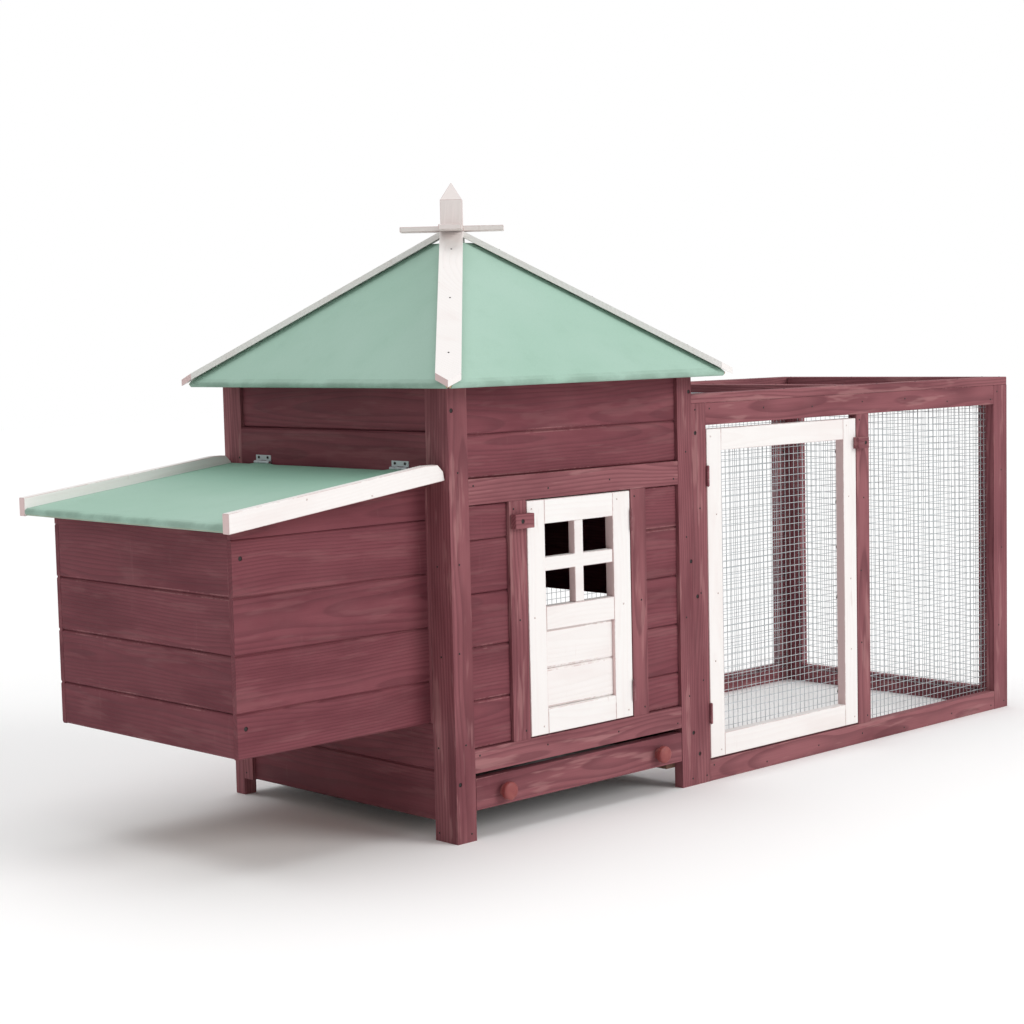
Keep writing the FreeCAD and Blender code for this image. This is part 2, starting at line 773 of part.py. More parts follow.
def roof_sector(name, plane, half_along, half_across, far):
    """Upright prism over the plan of one roof panel: a trapezoid between two hips with
    its eave corners cut off.  "half_along" is half the eave length."""
    hip_run = half_along - d.roof_top_half
    hip_cross = half_across - d.roof_top_half
    start = (d.corner_clip - d.hip_gap) / (hip_run + hip_cross)
    side = d.hip_gap + start * hip_run
    up = start * hip_cross
    full = 2 * half_along
    outline = [
        (d.corner_clip, ZERO),
        (full - d.corner_clip, ZERO),
        (full - side, up),
        (full - hip_run - d.hip_gap, hip_cross),
        (hip_run + d.hip_gap, hip_cross),
        (side, up),
    ]
    deep = half_across
    if far:
        outline = [(u, deep - v) for u, v in outline]
    if plane == "sides":
        outline = [(v, u) for u, v in outline]
    height = ROOF_RISE + 4 * ROOF_THICK
    base = d.eave_top - 2 * ROOF_THICK
    if plane == "sides":
        x = CENTRE_X_HOUSE if far else CENTRE_X_HOUSE - half_across
        return prism(name, "plan", outline, height, x, CENTRE_Y - half_along, base)
    y = CENTRE_Y if far else CENTRE_Y - half_across
    return prism(name, "plan", outline, height, CENTRE_X_HOUSE - half_along, y, base)


def roof_sections(half_across, far):
    """Sections of the felt and of the board of one panel, (depth, height).

    Both start at the eave, "depth" inward and "height" above the underside of the eave."""
    slope = roof_slope(half_across)
    lean = square_root(1 + slope * slope)
    down_in = slope / lean
    down = 1 / lean
    reach = half_across * PAST_RIDGE
    climb = reach * slope

    def point(along, under):
        """A point this far up the slope and this far under the top face."""
        depth = along * down + under * down_in
        height = ROOF_THICK * down + along * down_in - under * down
        return depth, height

    felt = d.felt_thick
    under_felt = ROOF_THICK - felt
    eave_top = point(ZERO, ZERO)
    felt_outline = [
        eave_top,
        point(ZERO, ROOF_THICK),
        point(d.felt_wrap, ROOF_THICK),
        point(d.felt_wrap, under_felt),
        point(felt, under_felt),
        point(felt, felt),
        (point(felt, felt)[0] + reach, point(felt, felt)[1] + climb),
        (reach, eave_top[1] + climb),
    ]
    board_outline = [
        point(felt, felt),
        point(felt, under_felt),
        (point(felt, under_felt)[0] + reach, point(felt, under_felt)[1] + climb),
        (point(felt, felt)[0] + reach, point(felt, felt)[1] + climb),
    ]
    if far:
        width = reach * PAST_REACH
        return width, [[(width - u, v) for u, v in outline] for outline in (felt_outline, board_outline)]
    return ZERO, [felt_outline, board_outline]


def roof():
    """Four felted panels that meet along the hips."""
    felts = []
    boards = {"front_rear": [], "sides": []}
    for name, plane, far in (
        ("front", "front_rear", False),
        ("rear", "front_rear", True),
        ("left", "sides", False),
        ("right", "sides", True),
    ):
        half_along, half_across = (HALF_Y, HALF_X) if plane == "sides" else (HALF_X, HALF_Y)
        sector = roof_sector(f"roof_{name}_sector", plane, half_along, half_across, far)
        shift, outlines = roof_sections(half_across, far)
        slope = roof_slope(half_across)
        base = d.eave_top - ROOF_THICK / square_root(1 + slope * slope)
        slabs = []
        for kind, outline in zip(("felt", "board"), outlines):
            if plane == "sides":
                x = CENTRE_X_HOUSE + half_across - shift if far else CENTRE_X_HOUSE - half_across
                place = (x, CENTRE_Y - half_along, base)
                slab = prism(f"roof_{name}_{kind}_slab", "front", outline, 2 * half_along, *place)
            else:
                y = CENTRE_Y + half_across - shift if far else CENTRE_Y - half_across
                place = (CENTRE_X_HOUSE - half_along, y, base)
                slab = prism(f"roof_{name}_{kind}_slab", "side", outline, 2 * half_along, *place)
            slabs.append(common(f"roof_{name}_{kind}", slab, sector))
        felts.append(slabs[0])
        boards[plane].append(slabs[1])
    node("roof_felt", *felts)
    node("roof_boards_front_rear", *boards["front_rear"])
    node("roof_boards_sides", *boards["sides"])


def king_post_square(name, side, z, height):
    """A square prism about the middle of the house, turned by 45 degrees."""
    reach = side / math.sqrt(2)
    outline = ((reach, ZERO), (2 * reach, reach), (reach, 2 * reach), (ZERO, reach))
    return prism(name, "plan", outline, height, CENTRE_X_HOUSE - reach, CENTRE_Y - reach, z)


def hip_trims():
    """Flat white trims on the hips, pointed at the eaves, butting on the king post."""
    run_x = HALF_X - d.roof_top_half
    run_y = HALF_Y - d.roof_top_half
    hip_run = square_root(run_x * run_x + run_y * run_y)
    slope = ROOF_RISE / hip_run
    lean = square_root(1 + slope * slope)
    seat_drop = d.hip_gap * ROOF_RISE / (run_x + run_y)
    yaw = slope_angle(run_y, run_x)
    start = d.hip_trim_width
    length = hip_run + start + d.roof_top_half * TRIM_OVERRUN
    upright = d.hip_trim_thick * lean
    outline = (
        (ZERO, ZERO),
        (length, length * slope),
        (length, length * slope + upright),
        (ZERO, upright),
    )
    over = d.hip_trim_overhang
    low = d.eave_top - 2 * start
    eaves = block(
        "trim_eaves", CENTRE_X_HOUSE - HALF_X - over, CENTRE_Y - HALF_Y - over, low,
        2 * (HALF_X + over), 2 * (HALF_Y + over), d.slat_bottom - low,
    )
    post = king_post_square("trim_post_cut", d.king_post_side, d.eave_top, ROOF_RISE * 2)
    trims = []
    half = d.hip_trim_width / 2
    straight = Size(180, "180 deg")
    for index, angle in enumerate((yaw, straight - yaw, straight + yaw, 2 * straight - yaw)):
        body = doc.addObject("PartDesign::Body", f"hip_slab_{index}")
        sketch = sketch_on(body, "front", outline)
        pad = body.newObject("PartDesign::Pad", f"hip_slab_pad_{index}")
        pad.Profile = sketch
        pad.Midplane = True
        bind(pad, Length=2 * half)
        turn(body, (0, 0, 1), angle)
        sign_x = 1 if index in (0, 3) else -1
        sign_y = 1 if index in (0, 1) else -1
        corner_x = CENTRE_X_HOUSE - sign_x * (HALF_X + start * run_x / hip_run)
        corner_y = CENTRE_Y - sign_y * (HALF_Y + start * run_y / hip_run)
        put(body, corner_x, corner_y, d.eave_top - start * slope - seat_drop)
        trims.append(cut(f"hip_trim_{index}", common(f"hip_long_{index}", body, eaves), post))
    node("hip_trims", *trims)


def finial():
    """King post, two half-lapped slats and a pointed cap, one above the other."""
    post_height = d.slat_bottom - d.king_post_bottom
    node("king_post", king_post_square("king_post_body", d.king_post_side, d.king_post_bottom, post_height))
    half_thick = d.slat_thick / 2
    slats = []
    for index, degrees in enumerate((45, 135)):
        blank = doc.addObject("Part::Box", f"slat_blank_{index}")
        bind(blank, Length=d.slat_length, Width=d.slat_width, Height=d.slat_thick)
        notch = doc.addObject("Part::Box", f"slat_notch_{index}")
        bind(notch, Length=d.slat_width, Width=d.slat_length, Height=half_thick)
        angle = math.radians(degrees)
        for obj, along, across, level in (
            (blank, d.slat_length / 2, d.slat_width / 2, d.slat_bottom),
            (notch, d.slat_width / 2, d.slat_length / 2, d.slat_bottom + half_thick * (1 - index)),
        ):
            turn(obj, (0, 0, 1), degrees)
            x = CENTRE_X_HOUSE - along * math.cos(angle) + across * math.sin(angle)
            y = CENTRE_Y - along * math.sin(angle) - across * math.cos(angle)
            put(obj, x, y, level)
        slats.append(cut(f"slat_{index}", blank, notch))
    node("finial_slat_lower", slats[0])
    node("finial_slat_upper", slats[1])

    body_bottom = d.slat_bottom + d.slat_thick
    square = king_post_square("finial_square", d.king_post_side, body_bottom, d.finial_body)
    point = doc.addObject("Part::Wedge", "finial_pyramid")
    half = d.king_post_side / 2
    tip = d.finial_tip / 2
    bind(
        point, Xmin=-half, Xmax=half, Zmin=-half, Zmax=half, Ymin=ZERO, Ymax=d.finial_point,
        X2min=-tip, X2max=tip, Z2min=-tip, Z2max=tip,
    )
    upright = FreeCAD.Rotation(FreeCAD.Vector(1, 0, 0), 90)
    quarter = FreeCAD.Rotation(FreeCAD.Vector(0, 0, 1), 45)
    point.Placement = FreeCAD.Placement(FreeCAD.Vector(0, 0, 0), quarter * upright)
    put(point, CENTRE_X_HOUSE, CENTRE_Y, body_bottom + d.finial_body)
    node("finial_cap", fuse("finial_cap_body", square, point))


# ---------------------------------------------------------------- nest box
LID_SLOPE = d.lid_rise / d.lid_front_edge


def lid_underside(distance):
    """Height of the lid's underside this far from the left wall."""
    return d.lid_low + (d.lid_front_edge - distance) * LID_SLOPE


def nest_box():
    """Boards on three sides, a floor, a divider and two corner battens."""
    thick = d.board_thick
    outer = -d.nest_length
    inner_width = d.nest_width - 2 * thick
    drills = {"near": [], "far": []}
    for index, level in enumerate((d.nest_screw_high, d.nest_screw_low)):
        x = outer + d.nest_screw_inset
        drills["near"] += screw(f"nest_near_screw_{index}", x, d.nest_front, level)
        drills["far"] += screw(f"nest_far_screw_{index}", x, NEST_REAR, level, True)
    tools = {side: gather(f"nest_{side}_drills", pieces) for side, pieces in drills.items()}

    pitch = d.nest_pitch
    low = [d.nest_first_board, pitch, pitch]
    top_base = d.nest_bottom + d.nest_first_board + 2 * pitch
    outer_last = lid_underside(d.nest_length) - d.nest_seat_gap - top_base + d.board_gap
    node(
        "nest_outer_boards",
        *board_column(
            "nest_outer", "left", outer, d.nest_front + thick, d.nest_bottom,
            inner_width, low + [outer_last],
        ),
    )

    boards = []
    for side, y, facing in (("near", d.nest_front, "front"), ("far", NEST_REAR - thick, "rear")):
        rows = board_column(
            f"nest_{side}", facing, outer, y, d.nest_bottom, d.nest_length, low + [pitch]
        )
        slope_base = top_base + pitch
        outline = (
            (ZERO, ZERO),
            (d.nest_length, ZERO),
            (d.nest_length, lid_underside(ZERO) - d.nest_seat_gap - slope_base),
            (ZERO, lid_underside(d.nest_length) - d.nest_seat_gap - slope_base),
        )
        rows.append(prism(f"nest_{side}_top", "front", outline, thick, outer, y, slope_base))
        boards += [
            cut(f"{row.Name}_drilled", row, tools[side]) if index in (0, 3) else row
            for index, row in enumerate(rows)
        ]
    node("nest_side_boards", *boards)

    floor_z = d.nest_bottom + d.nest_floor_raise
    inside = d.nest_length - thick
    node(
        "nest_floor",
        block(
            "nest_floor_board", outer + thick, d.nest_front + thick, floor_z,
            inside, inner_width, d.nest_floor_thick,
        ),
    )
    floor_top = floor_z + d.nest_floor_thick
    batten = d.nest_batten_size
    batten_height = lid_underside(d.nest_length) - 4 * d.nest_seat_gap - floor_top
    battens = []
    for side, y in (("near", d.nest_front + thick), ("far", NEST_REAR - thick - batten)):
        blank = block(
            f"nest_batten_{side}_blank", outer + thick, y, floor_top, batten, batten, batten_height
        )
        battens.append(cut(f"nest_batten_{side}", blank, tools[side]))
    node("nest_corner_battens", *battens)
    divider_x = outer + thick
    outline = (
        (ZERO, ZERO),
        (inside, ZERO),
        (inside, lid_underside(ZERO) - 4 * d.nest_seat_gap - floor_top),
        (ZERO, lid_underside(inside) - 4 * d.nest_seat_gap - floor_top),
    )
    middle = d.nest_front + (d.nest_width - thick) / 2
    node("nest_divider", prism("nest_divider_board", "front", outline, thick, divider_x, middle, floor_top))


def nest_lid():
    """Felted board with a trim on each side; its hinge leaves are made with the hinges."""
    inner_near = d.lid_near + d.lid_trim_thick
    inner_width = d.lid_width - 2 * d.lid_trim_thick
    felt = d.felt_thick
    board_front = d.lid_front_edge - felt
    span = board_front - d.lid_rear_gap
    rise = span * LID_SLOPE
    base = lid_underside(board_front) + felt
    outline = ((ZERO, ZERO), (span, rise), (span, rise + d.lid_ply), (ZERO, d.lid_ply))
    node("lid_board", prism("lid_ply_board", "front", outline, inner_width, -board_front, inner_near, base))

    whole = d.lid_front_edge - d.lid_rear_gap
    total = d.lid_ply + 2 * felt
    wrap = d.felt_wrap + felt
    felt_outline = (
        (ZERO, ZERO),
        (wrap, wrap * LID_SLOPE),
        (wrap, wrap * LID_SLOPE + felt),
        (felt, felt * LID_SLOPE + felt),
        (felt, felt * LID_SLOPE + felt + d.lid_ply),
        (whole, whole * LID_SLOPE + felt + d.lid_ply),
        (whole, whole * LID_SLOPE + total),
        (ZERO, total),
    )
    felt_body = prism(
        "lid_felt_sheet", "front", felt_outline, inner_width, -d.lid_front_edge, inner_near, d.lid_low
    )
    node("lid_felt", felt_body)

    upright = d.lid_trim_height * square_root(1 + LID_SLOPE * LID_SLOPE)
    front = d.lid_front_edge
    end = front - d.lid_trim_end_gap
    level = d.lid_trim_level - d.lid_low
    level_start = (level - upright) / LID_SLOPE
    trim_outline = (
        (ZERO, ZERO),
        (end, end * LID_SLOPE),
        (front - d.lid_trim_nose, d.lid_trim_nose_level - d.lid_low),
        (front - d.lid_trim_level_end, level),
        (level_start, level),
        (ZERO, upright),
    )
    trims = [
        prism(f"lid_trim_{side}", "front", trim_outline, d.lid_trim_thick, -front, y, d.lid_low)
        for side, y in (("near", d.lid_near), ("far", LID_FAR - d.lid_trim_thick))
    ]
    node("lid_trims", *trims)


# ---------------------------------------------------------------- hinges
HINGE = {"posts": [], "wall": [], "pins": [], "house_door": [], "run_door": [], "lid": []}


def knuckle(name, x, y, z, radius, bore, length, axis=None, degrees=0):
    """One tube of a hinge barrel."""
    outer = rod(name + "_outer", x, y, z, radius, length, axis, degrees)
    inner = rod(name + "_inner", x, y, z, bore, length, axis, degrees)
    return cut(name, outer, inner)


def door_hinge(name, door, post_x, direction, z):
    """A butt hinge in the joint beside a door.

    "post_x" is the face of the post and "direction" is +1 where the door lies right of it.
    The pin stands in front of the door, in the middle of the joint."""
    pin_x = post_x + direction * d.door_gap / 2
    pin_y = -d.barrel_stand
    fixed_x = post_x if direction > 0 else post_x - d.leaf_thick
    moving_x = post_x + direction * (d.door_gap - (d.leaf_thick if direction > 0 else ZERO))
    upper = z + d.leaf_height - d.knuckle_height
    middle = d.leaf_height - 2 * (d.knuckle_height + d.knuckle_gap)
    middle_z = z + d.knuckle_height + d.knuckle_gap

    pin_bore = rod(name + "_bore", pin_x, pin_y, z, d.pin_radius, d.leaf_height)
    fixed = block(name + "_fixed_leaf", fixed_x, ZERO, z, d.leaf_thick, d.leaf_depth, d.leaf_height)
    for index, level in enumerate((z, upper)):
        tongue = block(
            f"{name}_tongue_{index}", fixed_x, pin_y, level,
            d.leaf_thick, d.barrel_stand, d.knuckle_height,
        )
        barrel = rod(f"{name}_barrel_{index}", pin_x, pin_y, level, d.barrel_radius, d.knuckle_height)
        fixed = fuse(f"{name}_fixed_{index}", fixed, fuse(f"{name}_ear_{index}", tongue, barrel))
    HINGE["posts"].append(cut(name + "_fixed", fixed, pin_bore))

    moving = block(name + "_moving_leaf", moving_x, ZERO, z, d.leaf_thick, d.leaf_depth, d.leaf_height)
    tongue = block(
        name + "_moving_tongue", moving_x, pin_y, middle_z, d.leaf_thick, d.barrel_stand, middle
    )
    barrel = rod(name + "_moving_barrel", pin_x, pin_y, middle_z, d.barrel_radius, middle)
    moving = fuse(name + "_moving_solid", moving, fuse(name + "_moving_ear", tongue, barrel))
    loose_bore = rod(
        name + "_loose_bore", pin_x, pin_y, z, d.pin_radius + d.pin_play, d.leaf_height
    )
    HINGE[door].append(cut(name + "_moving", moving, loose_bore))

    HINGE["pins"].append(
        rod(
            name + "_pin", pin_x, pin_y, z - d.pin_excess,
            d.pin_radius, d.leaf_height + 2 * d.pin_excess,
        )
    )


def lid_hinge(name, y, drills):
    """Hinge of the nest lid: one leaf up the wall, one bent under the lid board."""
    pin_x = -d.lid_pin_out
    pin_z = d.lid_pin_height
    radius = d.lid_barrel_radius
    spin = ((1, 0, 0), -90)
    thick = d.lid_leaf_thick
    middle_y = y + d.lid_knuckle + d.knuckle_gap
    middle = d.lid_leaf_width - 2 * (d.lid_knuckle + d.knuckle_gap)
    bore = rod(name + "_bore", pin_x, y, pin_z, d.pin_radius, d.lid_leaf_width, *spin)
    wall_leaf = block(
        name + "_wall_leaf", -thick, y, pin_z + radius + d.knuckle_gap,
        thick, d.lid_leaf_width, d.lid_leaf_height - radius - d.knuckle_gap,
    )
    far_y = y + d.lid_leaf_width - d.lid_knuckle
    fixed = wall_leaf
    for index, knuckle_y in enumerate((y, far_y)):
        barrel = rod(f"{name}_barrel_{index}", pin_x, knuckle_y, pin_z, radius, d.lid_knuckle, *spin)
        tongue = block(
            f"{name}_tongue_{index}", -thick, knuckle_y, pin_z,
            thick, d.lid_knuckle, radius + d.knuckle_gap,
        )
        fixed = fuse(f"{name}_fixed_{index}", fixed, fuse(f"{name}_ear_{index}", tongue, barrel))
    bored = cut(name + "_fixed_bored", fixed, bore)
    HINGE["wall"].append(cut(name + "_fixed_leaf", bored, drills))

    # the moving leaf goes down the rear edge of the lid and then forward under its board
    rear = d.lid_rear_gap
    drop_x = rear - thick
    reach = d.lid_leaf_reach
    under_rear = lid_underside(rear) + d.felt_thick
    under_front = lid_underside(rear + reach) + d.felt_thick
    base = under_front - thick
    top = pin_z - radius - d.knuckle_gap
    outline = (
        (ZERO, ZERO),
        (reach + thick, under_rear - under_front),
        (reach + thick, top - base),
        (reach, top - base),
        (reach, under_rear - base),
        (ZERO, thick),
    )
    leaf = prism(name + "_lid_leaf", "front", outline, d.lid_leaf_width, -rear - reach, y, base)
    tongue = block(
        name + "_lid_tongue", -rear, middle_y, top,
        thick, middle, radius + d.knuckle_gap,
    )
    barrel = rod(name + "_lid_barrel", pin_x, middle_y, pin_z, radius, middle, *spin)
    solid = fuse(name + "_lid_solid", leaf, fuse(name + "_lid_ear", tongue, barrel))
    loose = rod(
        name + "_lid_bore", pin_x, y, pin_z, d.pin_radius + d.pin_play, d.lid_leaf_width, *spin
    )
    HINGE["lid"].append(cut(name + "_moving", solid, loose))
    HINGE["pins"].append(
        rod(
            name + "_pin", pin_x, y - d.pin_excess, pin_z,
            d.pin_radius, d.lid_leaf_width + 2 * d.pin_excess, *spin,
        )
    )


SMALL_SCREWS = []
LID_HINGES = (("lid_hinge_near", d.lid_hinge_near), ("lid_hinge_far", d.lid_hinge_far))


def lid_hinge_screws():
    """Two small screws for each wall leaf of the lid hinges, and all their drills."""
    level = d.lid_pin_height + d.lid_leaf_height - d.small_screw_drop
    drills = []
    for name, y in LID_HINGES:
        for index, inset in enumerate((d.small_screw_inset, d.lid_leaf_width - d.small_screw_inset)):
            drills.append(hinge_screw(f"{name}_screw_{index}", y + inset, level))
    return gather("lid_hinge_drills", drills)


def hinge_screw(name, y, z):
    """A small screw through the wall leaf of a lid hinge, and the drill for its hole."""
    head = -d.lid_leaf_thick - d.small_head_height
    outline = (
        (ZERO, ZERO),
        (d.small_head_radius, ZERO),
        (d.small_head_radius, d.small_head_height),
        (d.small_screw_radius, d.small_head_height),
        (d.small_screw_radius, d.small_head_height + d.small_screw_length),
        (ZERO, d.small_head_height + d.small_screw_length),
    )
    SMALL_SCREWS.append(turned(name, outline, head, y, z, (0, 1, 0), 90))
    reach = d.small_screw_length + d.small_head_height
    return rod(name + "_drill", head, y, z, d.small_screw_radius, reach, (0, 1, 0), 90)


def hinges(lid_drills):
    """All six hinges and the nodes that hold their pieces."""
    for level, height in (("low", d.house_hinge_low), ("high", d.house_hinge_high)):
        door_hinge(f"house_hinge_{level}", "house_door", DOOR_RIGHT, -1, height)
    run_post = RUN_START + d.run_left_stile
    for level, height in (("low", d.run_hinge_low), ("high", d.run_hinge_high)):
        door_hinge(f"run_hinge_{level}", "run_door", run_post, 1, height)
    for name, y in LID_HINGES:
        lid_hinge(name, y, lid_drills)
    node("door_post_hinge_leaves", *HINGE["posts"])
    node("lid_wall_hinge_leaves", *HINGE["wall"])
    node("hinge_pins", *HINGE["pins"])
    node("house_door_hinge_leaves", *HINGE["house_door"])
    node("run_door_hinge_leaves", *HINGE["run_door"])
    node("lid_hinge_leaves", *HINGE["lid"])


# ---------------------------------------------------------------- run
def run_frame():
    """Front, rear and end panels, the flat roof frame and the battens on the house."""
    thick = d.frame_thick
    drills = []
    for index, level in enumerate((d.run_screw_high, d.run_screw_middle, d.run_screw_low)):
        x = RUN_START + d.run_screw_inset
        drills += screw(f"run_screw_{index}", x, ZERO, level)
    tools = gather("run_drills", drills)
    button_tools = gather("run_button_drills", run_button_screw())

    uprights = []
    rails = []
    stiles = (
        ("left", RUN_START, d.run_left_stile, ZERO, d.run_height),
        (
            "middle", RUN_MIDDLE, d.run_middle_stile,
            d.run_bottom_rail, RUN_TOP_RAIL - d.run_bottom_rail,
        ),
        ("right", RUN_RIGHT_STILE, d.run_right_stile, ZERO, d.run_height),
    )
    rail_x = RUN_START + d.run_left_stile
    rail_length = RUN_RIGHT_STILE - rail_x
    for panel, y in (("front", ZERO), ("rear", REAR_INNER)):
        for name, x, width, z, height in stiles:
            piece = block(f"run_{panel}_{name}", x, y, z, width, thick, height)
            if panel == "front" and name == "left":
                piece = cut("run_front_left_drilled", piece, tools)
            if panel == "front" and name == "middle":
                piece = cut("run_front_middle_drilled", piece, button_tools)
            uprights.append(piece)
        rails.append(block(f"run_{panel}_bottom", rail_x, y, ZERO, rail_length, thick, d.run_bottom_rail))
        rails.append(block(f"run_{panel}_top", rail_x, y, RUN_TOP_RAIL, rail_length, thick, d.run_top_rail))
    node("run_uprights", *uprights)

    end_x = RUN_END - thick
    stile = d.run_end_stile
    end_stiles = [
        block(f"run_end_stile_{index}", end_x, y, ZERO, thick, stile, d.run_height)
        for index, y in enumerate((thick, REAR_INNER - stile))
    ]
    node("run_end_stiles", *end_stiles)
    end_rail_y = thick + stile
    end_length = REAR_INNER - stile - end_rail_y
    for name, z, height in (
        ("bottom", ZERO, d.run_bottom_rail),
        ("top", RUN_TOP_RAIL, d.run_top_rail),
    ):
        rails.append(block(f"run_end_{name}", end_x, end_rail_y, z, thick, end_length, height))
    node("run_rails", *rails)

    rail = d.run_roof_rail
    roof_rails = [
        block(f"run_roof_rail_{index}", RUN_START, y, d.run_height, d.run_length, rail, d.run_roof_thick)
        for index, y in enumerate((ZERO, d.house_depth - rail))
    ]
    node("run_roof_rails", *roof_rails)
    crossbars = [
        block(
            f"run_crossbar_{index}", x, rail, d.run_height,
            rail, d.house_depth - 2 * rail, d.run_roof_thick,
        )
        for index, x in enumerate((RUN_START, RUN_MIDDLE, RUN_END - rail))
    ]
    node("run_roof_crossbars", *crossbars)

    battens = []
    batten_y = REAR_INNER - d.fixing_batten_depth
    for name, y in (("front", thick), ("rear", batten_y)):
        batten = block(
            f"fixing_batten_{name}", RUN_START, y, ZERO,
            d.fixing_batten_width, d.fixing_batten_depth, d.run_height - d.mesh_thick,
        )
        battens.append(cut("fixing_batten_drilled", batten, tools) if name == "front" else batten)
    node("run_fixing_battens", *battens)


def run_mesh():
    """Welded mesh behind each opening of the run, as thin sheets of the wires' thickness."""
    thick = d.frame_thick
    sheet_thick = d.mesh_thick
    lap = d.mesh_lap
    corner = sheet_thick + d.mesh_corner_gap
    end_inner = RUN_END - thick
    low = d.run_bottom_rail - lap
    high = RUN_TOP_RAIL + lap
    front_x = RUN_MIDDLE + d.run_middle_stile - lap
    node(
        "run_front_mesh",
        block(
            "front_mesh_sheet", front_x, thick, low,
            end_inner - corner - front_x, sheet_thick, high - low,
        ),
    )
    rear_x = RUN_START + d.run_left_stile - lap
    node(
        "run_rear_mesh",
        block(
            "rear_mesh_sheet", rear_x, REAR_INNER - sheet_thick, low,
            end_inner - corner - rear_x, sheet_thick, high - low,
        ),
    )
    near = thick + d.run_end_stile - lap
    node(
        "run_end_mesh",
        block(
            "end_mesh_sheet", end_inner - sheet_thick, near, low,
            sheet_thick, REAR_INNER - d.run_end_stile + lap - near, high - low,
        ),
    )
    roof_x = RUN_START + d.run_roof_rail - lap
    roof_y = d.run_roof_rail - lap
    node(
        "run_roof_mesh",
        block(
            "roof_mesh_sheet", roof_x, roof_y, d.run_height - sheet_thick,
            RUN_END - d.run_roof_rail + lap - roof_x, d.house_depth - 2 * roof_y, sheet_thick,
        ),
    )


# ---------------------------------------------------------------- doors
def house_door():
    """White framed door with four window lights over two boards."""
    left = d.door_opening_left + d.door_gap
    right = DOOR_RIGHT - d.door_gap
    bottom = SILL_TOP + d.door_gap
    top = d.lintel_bottom - d.door_gap
    thick = d.frame_thick
    height = top - bottom
    node(
        "house_door_stiles",
        block("door_stile_left", left, ZERO, bottom, d.house_stile_left, thick, height),
        block(
            "door_stile_right", right - d.house_stile_right, ZERO, bottom,
            d.house_stile_right, thick, height,
        ),
    )
    inner = left + d.house_stile_left
    width = right - d.house_stile_right - inner
    panel_bottom = bottom + d.house_bottom_rail
    panel_top = panel_bottom + d.house_panel_height
    window_bottom = panel_top + d.house_middle_rail
    window_top = top - d.house_top_rail
    rails = [
        block(f"door_rail_{name}", inner, ZERO, z, width, thick, rail)
        for name, z, rail in (
            ("bottom", bottom, d.house_bottom_rail),
            ("middle", panel_top, d.house_middle_rail),
            ("top", window_top, d.house_top_rail),
        )
    ]
    node("house_door_rails", *rails)

    bar_depth = thick - 2 * d.bar_inset
    upright = block(
        "window_bar_upright", inner + (width - d.bar_width) / 2, d.bar_inset, window_bottom,
        d.bar_width, bar_depth, window_top - window_bottom,
    )
    level = block(
        "window_bar_level", inner, d.bar_inset, window_top - d.bar_drop - d.bar_height,
        width, bar_depth, d.bar_height,
    )
    node("house_door_window_bars", fuse("window_cross", upright, level))

    half = d.house_panel_height / 2
    panel_section = (
        (d.board_chamfer, ZERO),
        (d.panel_thick, ZERO),
        (d.panel_thick, half - d.board_gap),
        (d.board_chamfer, half - d.board_gap),
        (ZERO, half - d.board_gap - d.board_chamfer),
        (ZERO, d.board_chamfer),
    )
    boards = [
        prism(
            f"door_board_{index}", "side", panel_section, width,
            inner, d.board_recess, panel_bottom + index * half,
        )
        for index in range(2)
    ]
    node("house_door_boards", *boards)


def run_door():
    """White framed door of the run, with mesh behind it."""
    left = RUN_START + d.run_left_stile + d.door_gap
    right = RUN_MIDDLE - d.door_gap
    bottom = d.run_door_bottom
    thick = d.frame_thick
    stile = d.run_door_stile
    node(
        "run_door_stiles",
        block("run_door_stile_left", left, ZERO, bottom, stile, thick, d.run_door_height),
        block("run_door_stile_right", right - stile, ZERO, bottom, stile, thick, d.run_door_height),
    )
    inner = left + stile
    width = right - stile - inner
    top_rail = bottom + d.run_door_height - d.run_door_top_rail
    node(
        "run_door_rails",
        block("run_door_rail_bottom", inner, ZERO, bottom, width, thick, d.run_door_bottom_rail),
        block("run_door_rail_top", inner, ZERO, top_rail, width, thick, d.run_door_top_rail),
    )
    lap = d.mesh_lap
    low = bottom + d.run_door_bottom_rail - lap
    node(
        "run_door_mesh",
        block(
            "run_door_mesh_sheet", inner - lap, thick, low,
            width + 2 * lap, d.mesh_thick, top_rail + lap - low,
        ),
    )


# ---------------------------------------------------------------- turn buttons
def house_button_screw():
    return screw("house_pivot", d.house_pivot_side, -d.button_thick - d.button_play, d.house_pivot_level)


def run_button_screw():
    x = RUN_START + d.run_pivot_side
    return screw("run_pivot", x, -d.button_thick - d.button_play, d.run_pivot_level)


def turn_button(label, left, pivot_x, pivot_z, length, height):
    """A wooden block with rounded edges that turns on a screw beside a door."""
    front = -d.button_thick - d.button_play
    body = doc.addObject("PartDesign::Body", label + "_body")
    blank = body.newObject("PartDesign::AdditiveBox", label + "_blank")
    bind(blank, Length=length, Width=d.button_thick, Height=height)
    doc.recompute()
    edges = [
        f"Edge{index}"
        for index, edge in enumerate(blank.Shape.Edges, start=1)
        if edge.BoundBox.YMax < 1e-6
    ]
    fillet = body.newObject("PartDesign::Fillet", label + "_rounding")
    fillet.Base = (blank, edges)
    bind(fillet, Radius=d.button_round)
    put(body, left, front, pivot_z - height / 2)
    clear = d.screw_radius + d.pin_play
    bore = rod(label + "_bore", pivot_x, front, pivot_z, clear, d.button_thick, (1, 0, 0), -90)
    sink = rod(label + "_counterbore", pivot_x, front, pivot_z, d.sink_radius, d.sink_depth, (1, 0, 0), -90)
    node(label, cut(label + "_drilled", body, gather(label + "_drills", [bore, sink])))


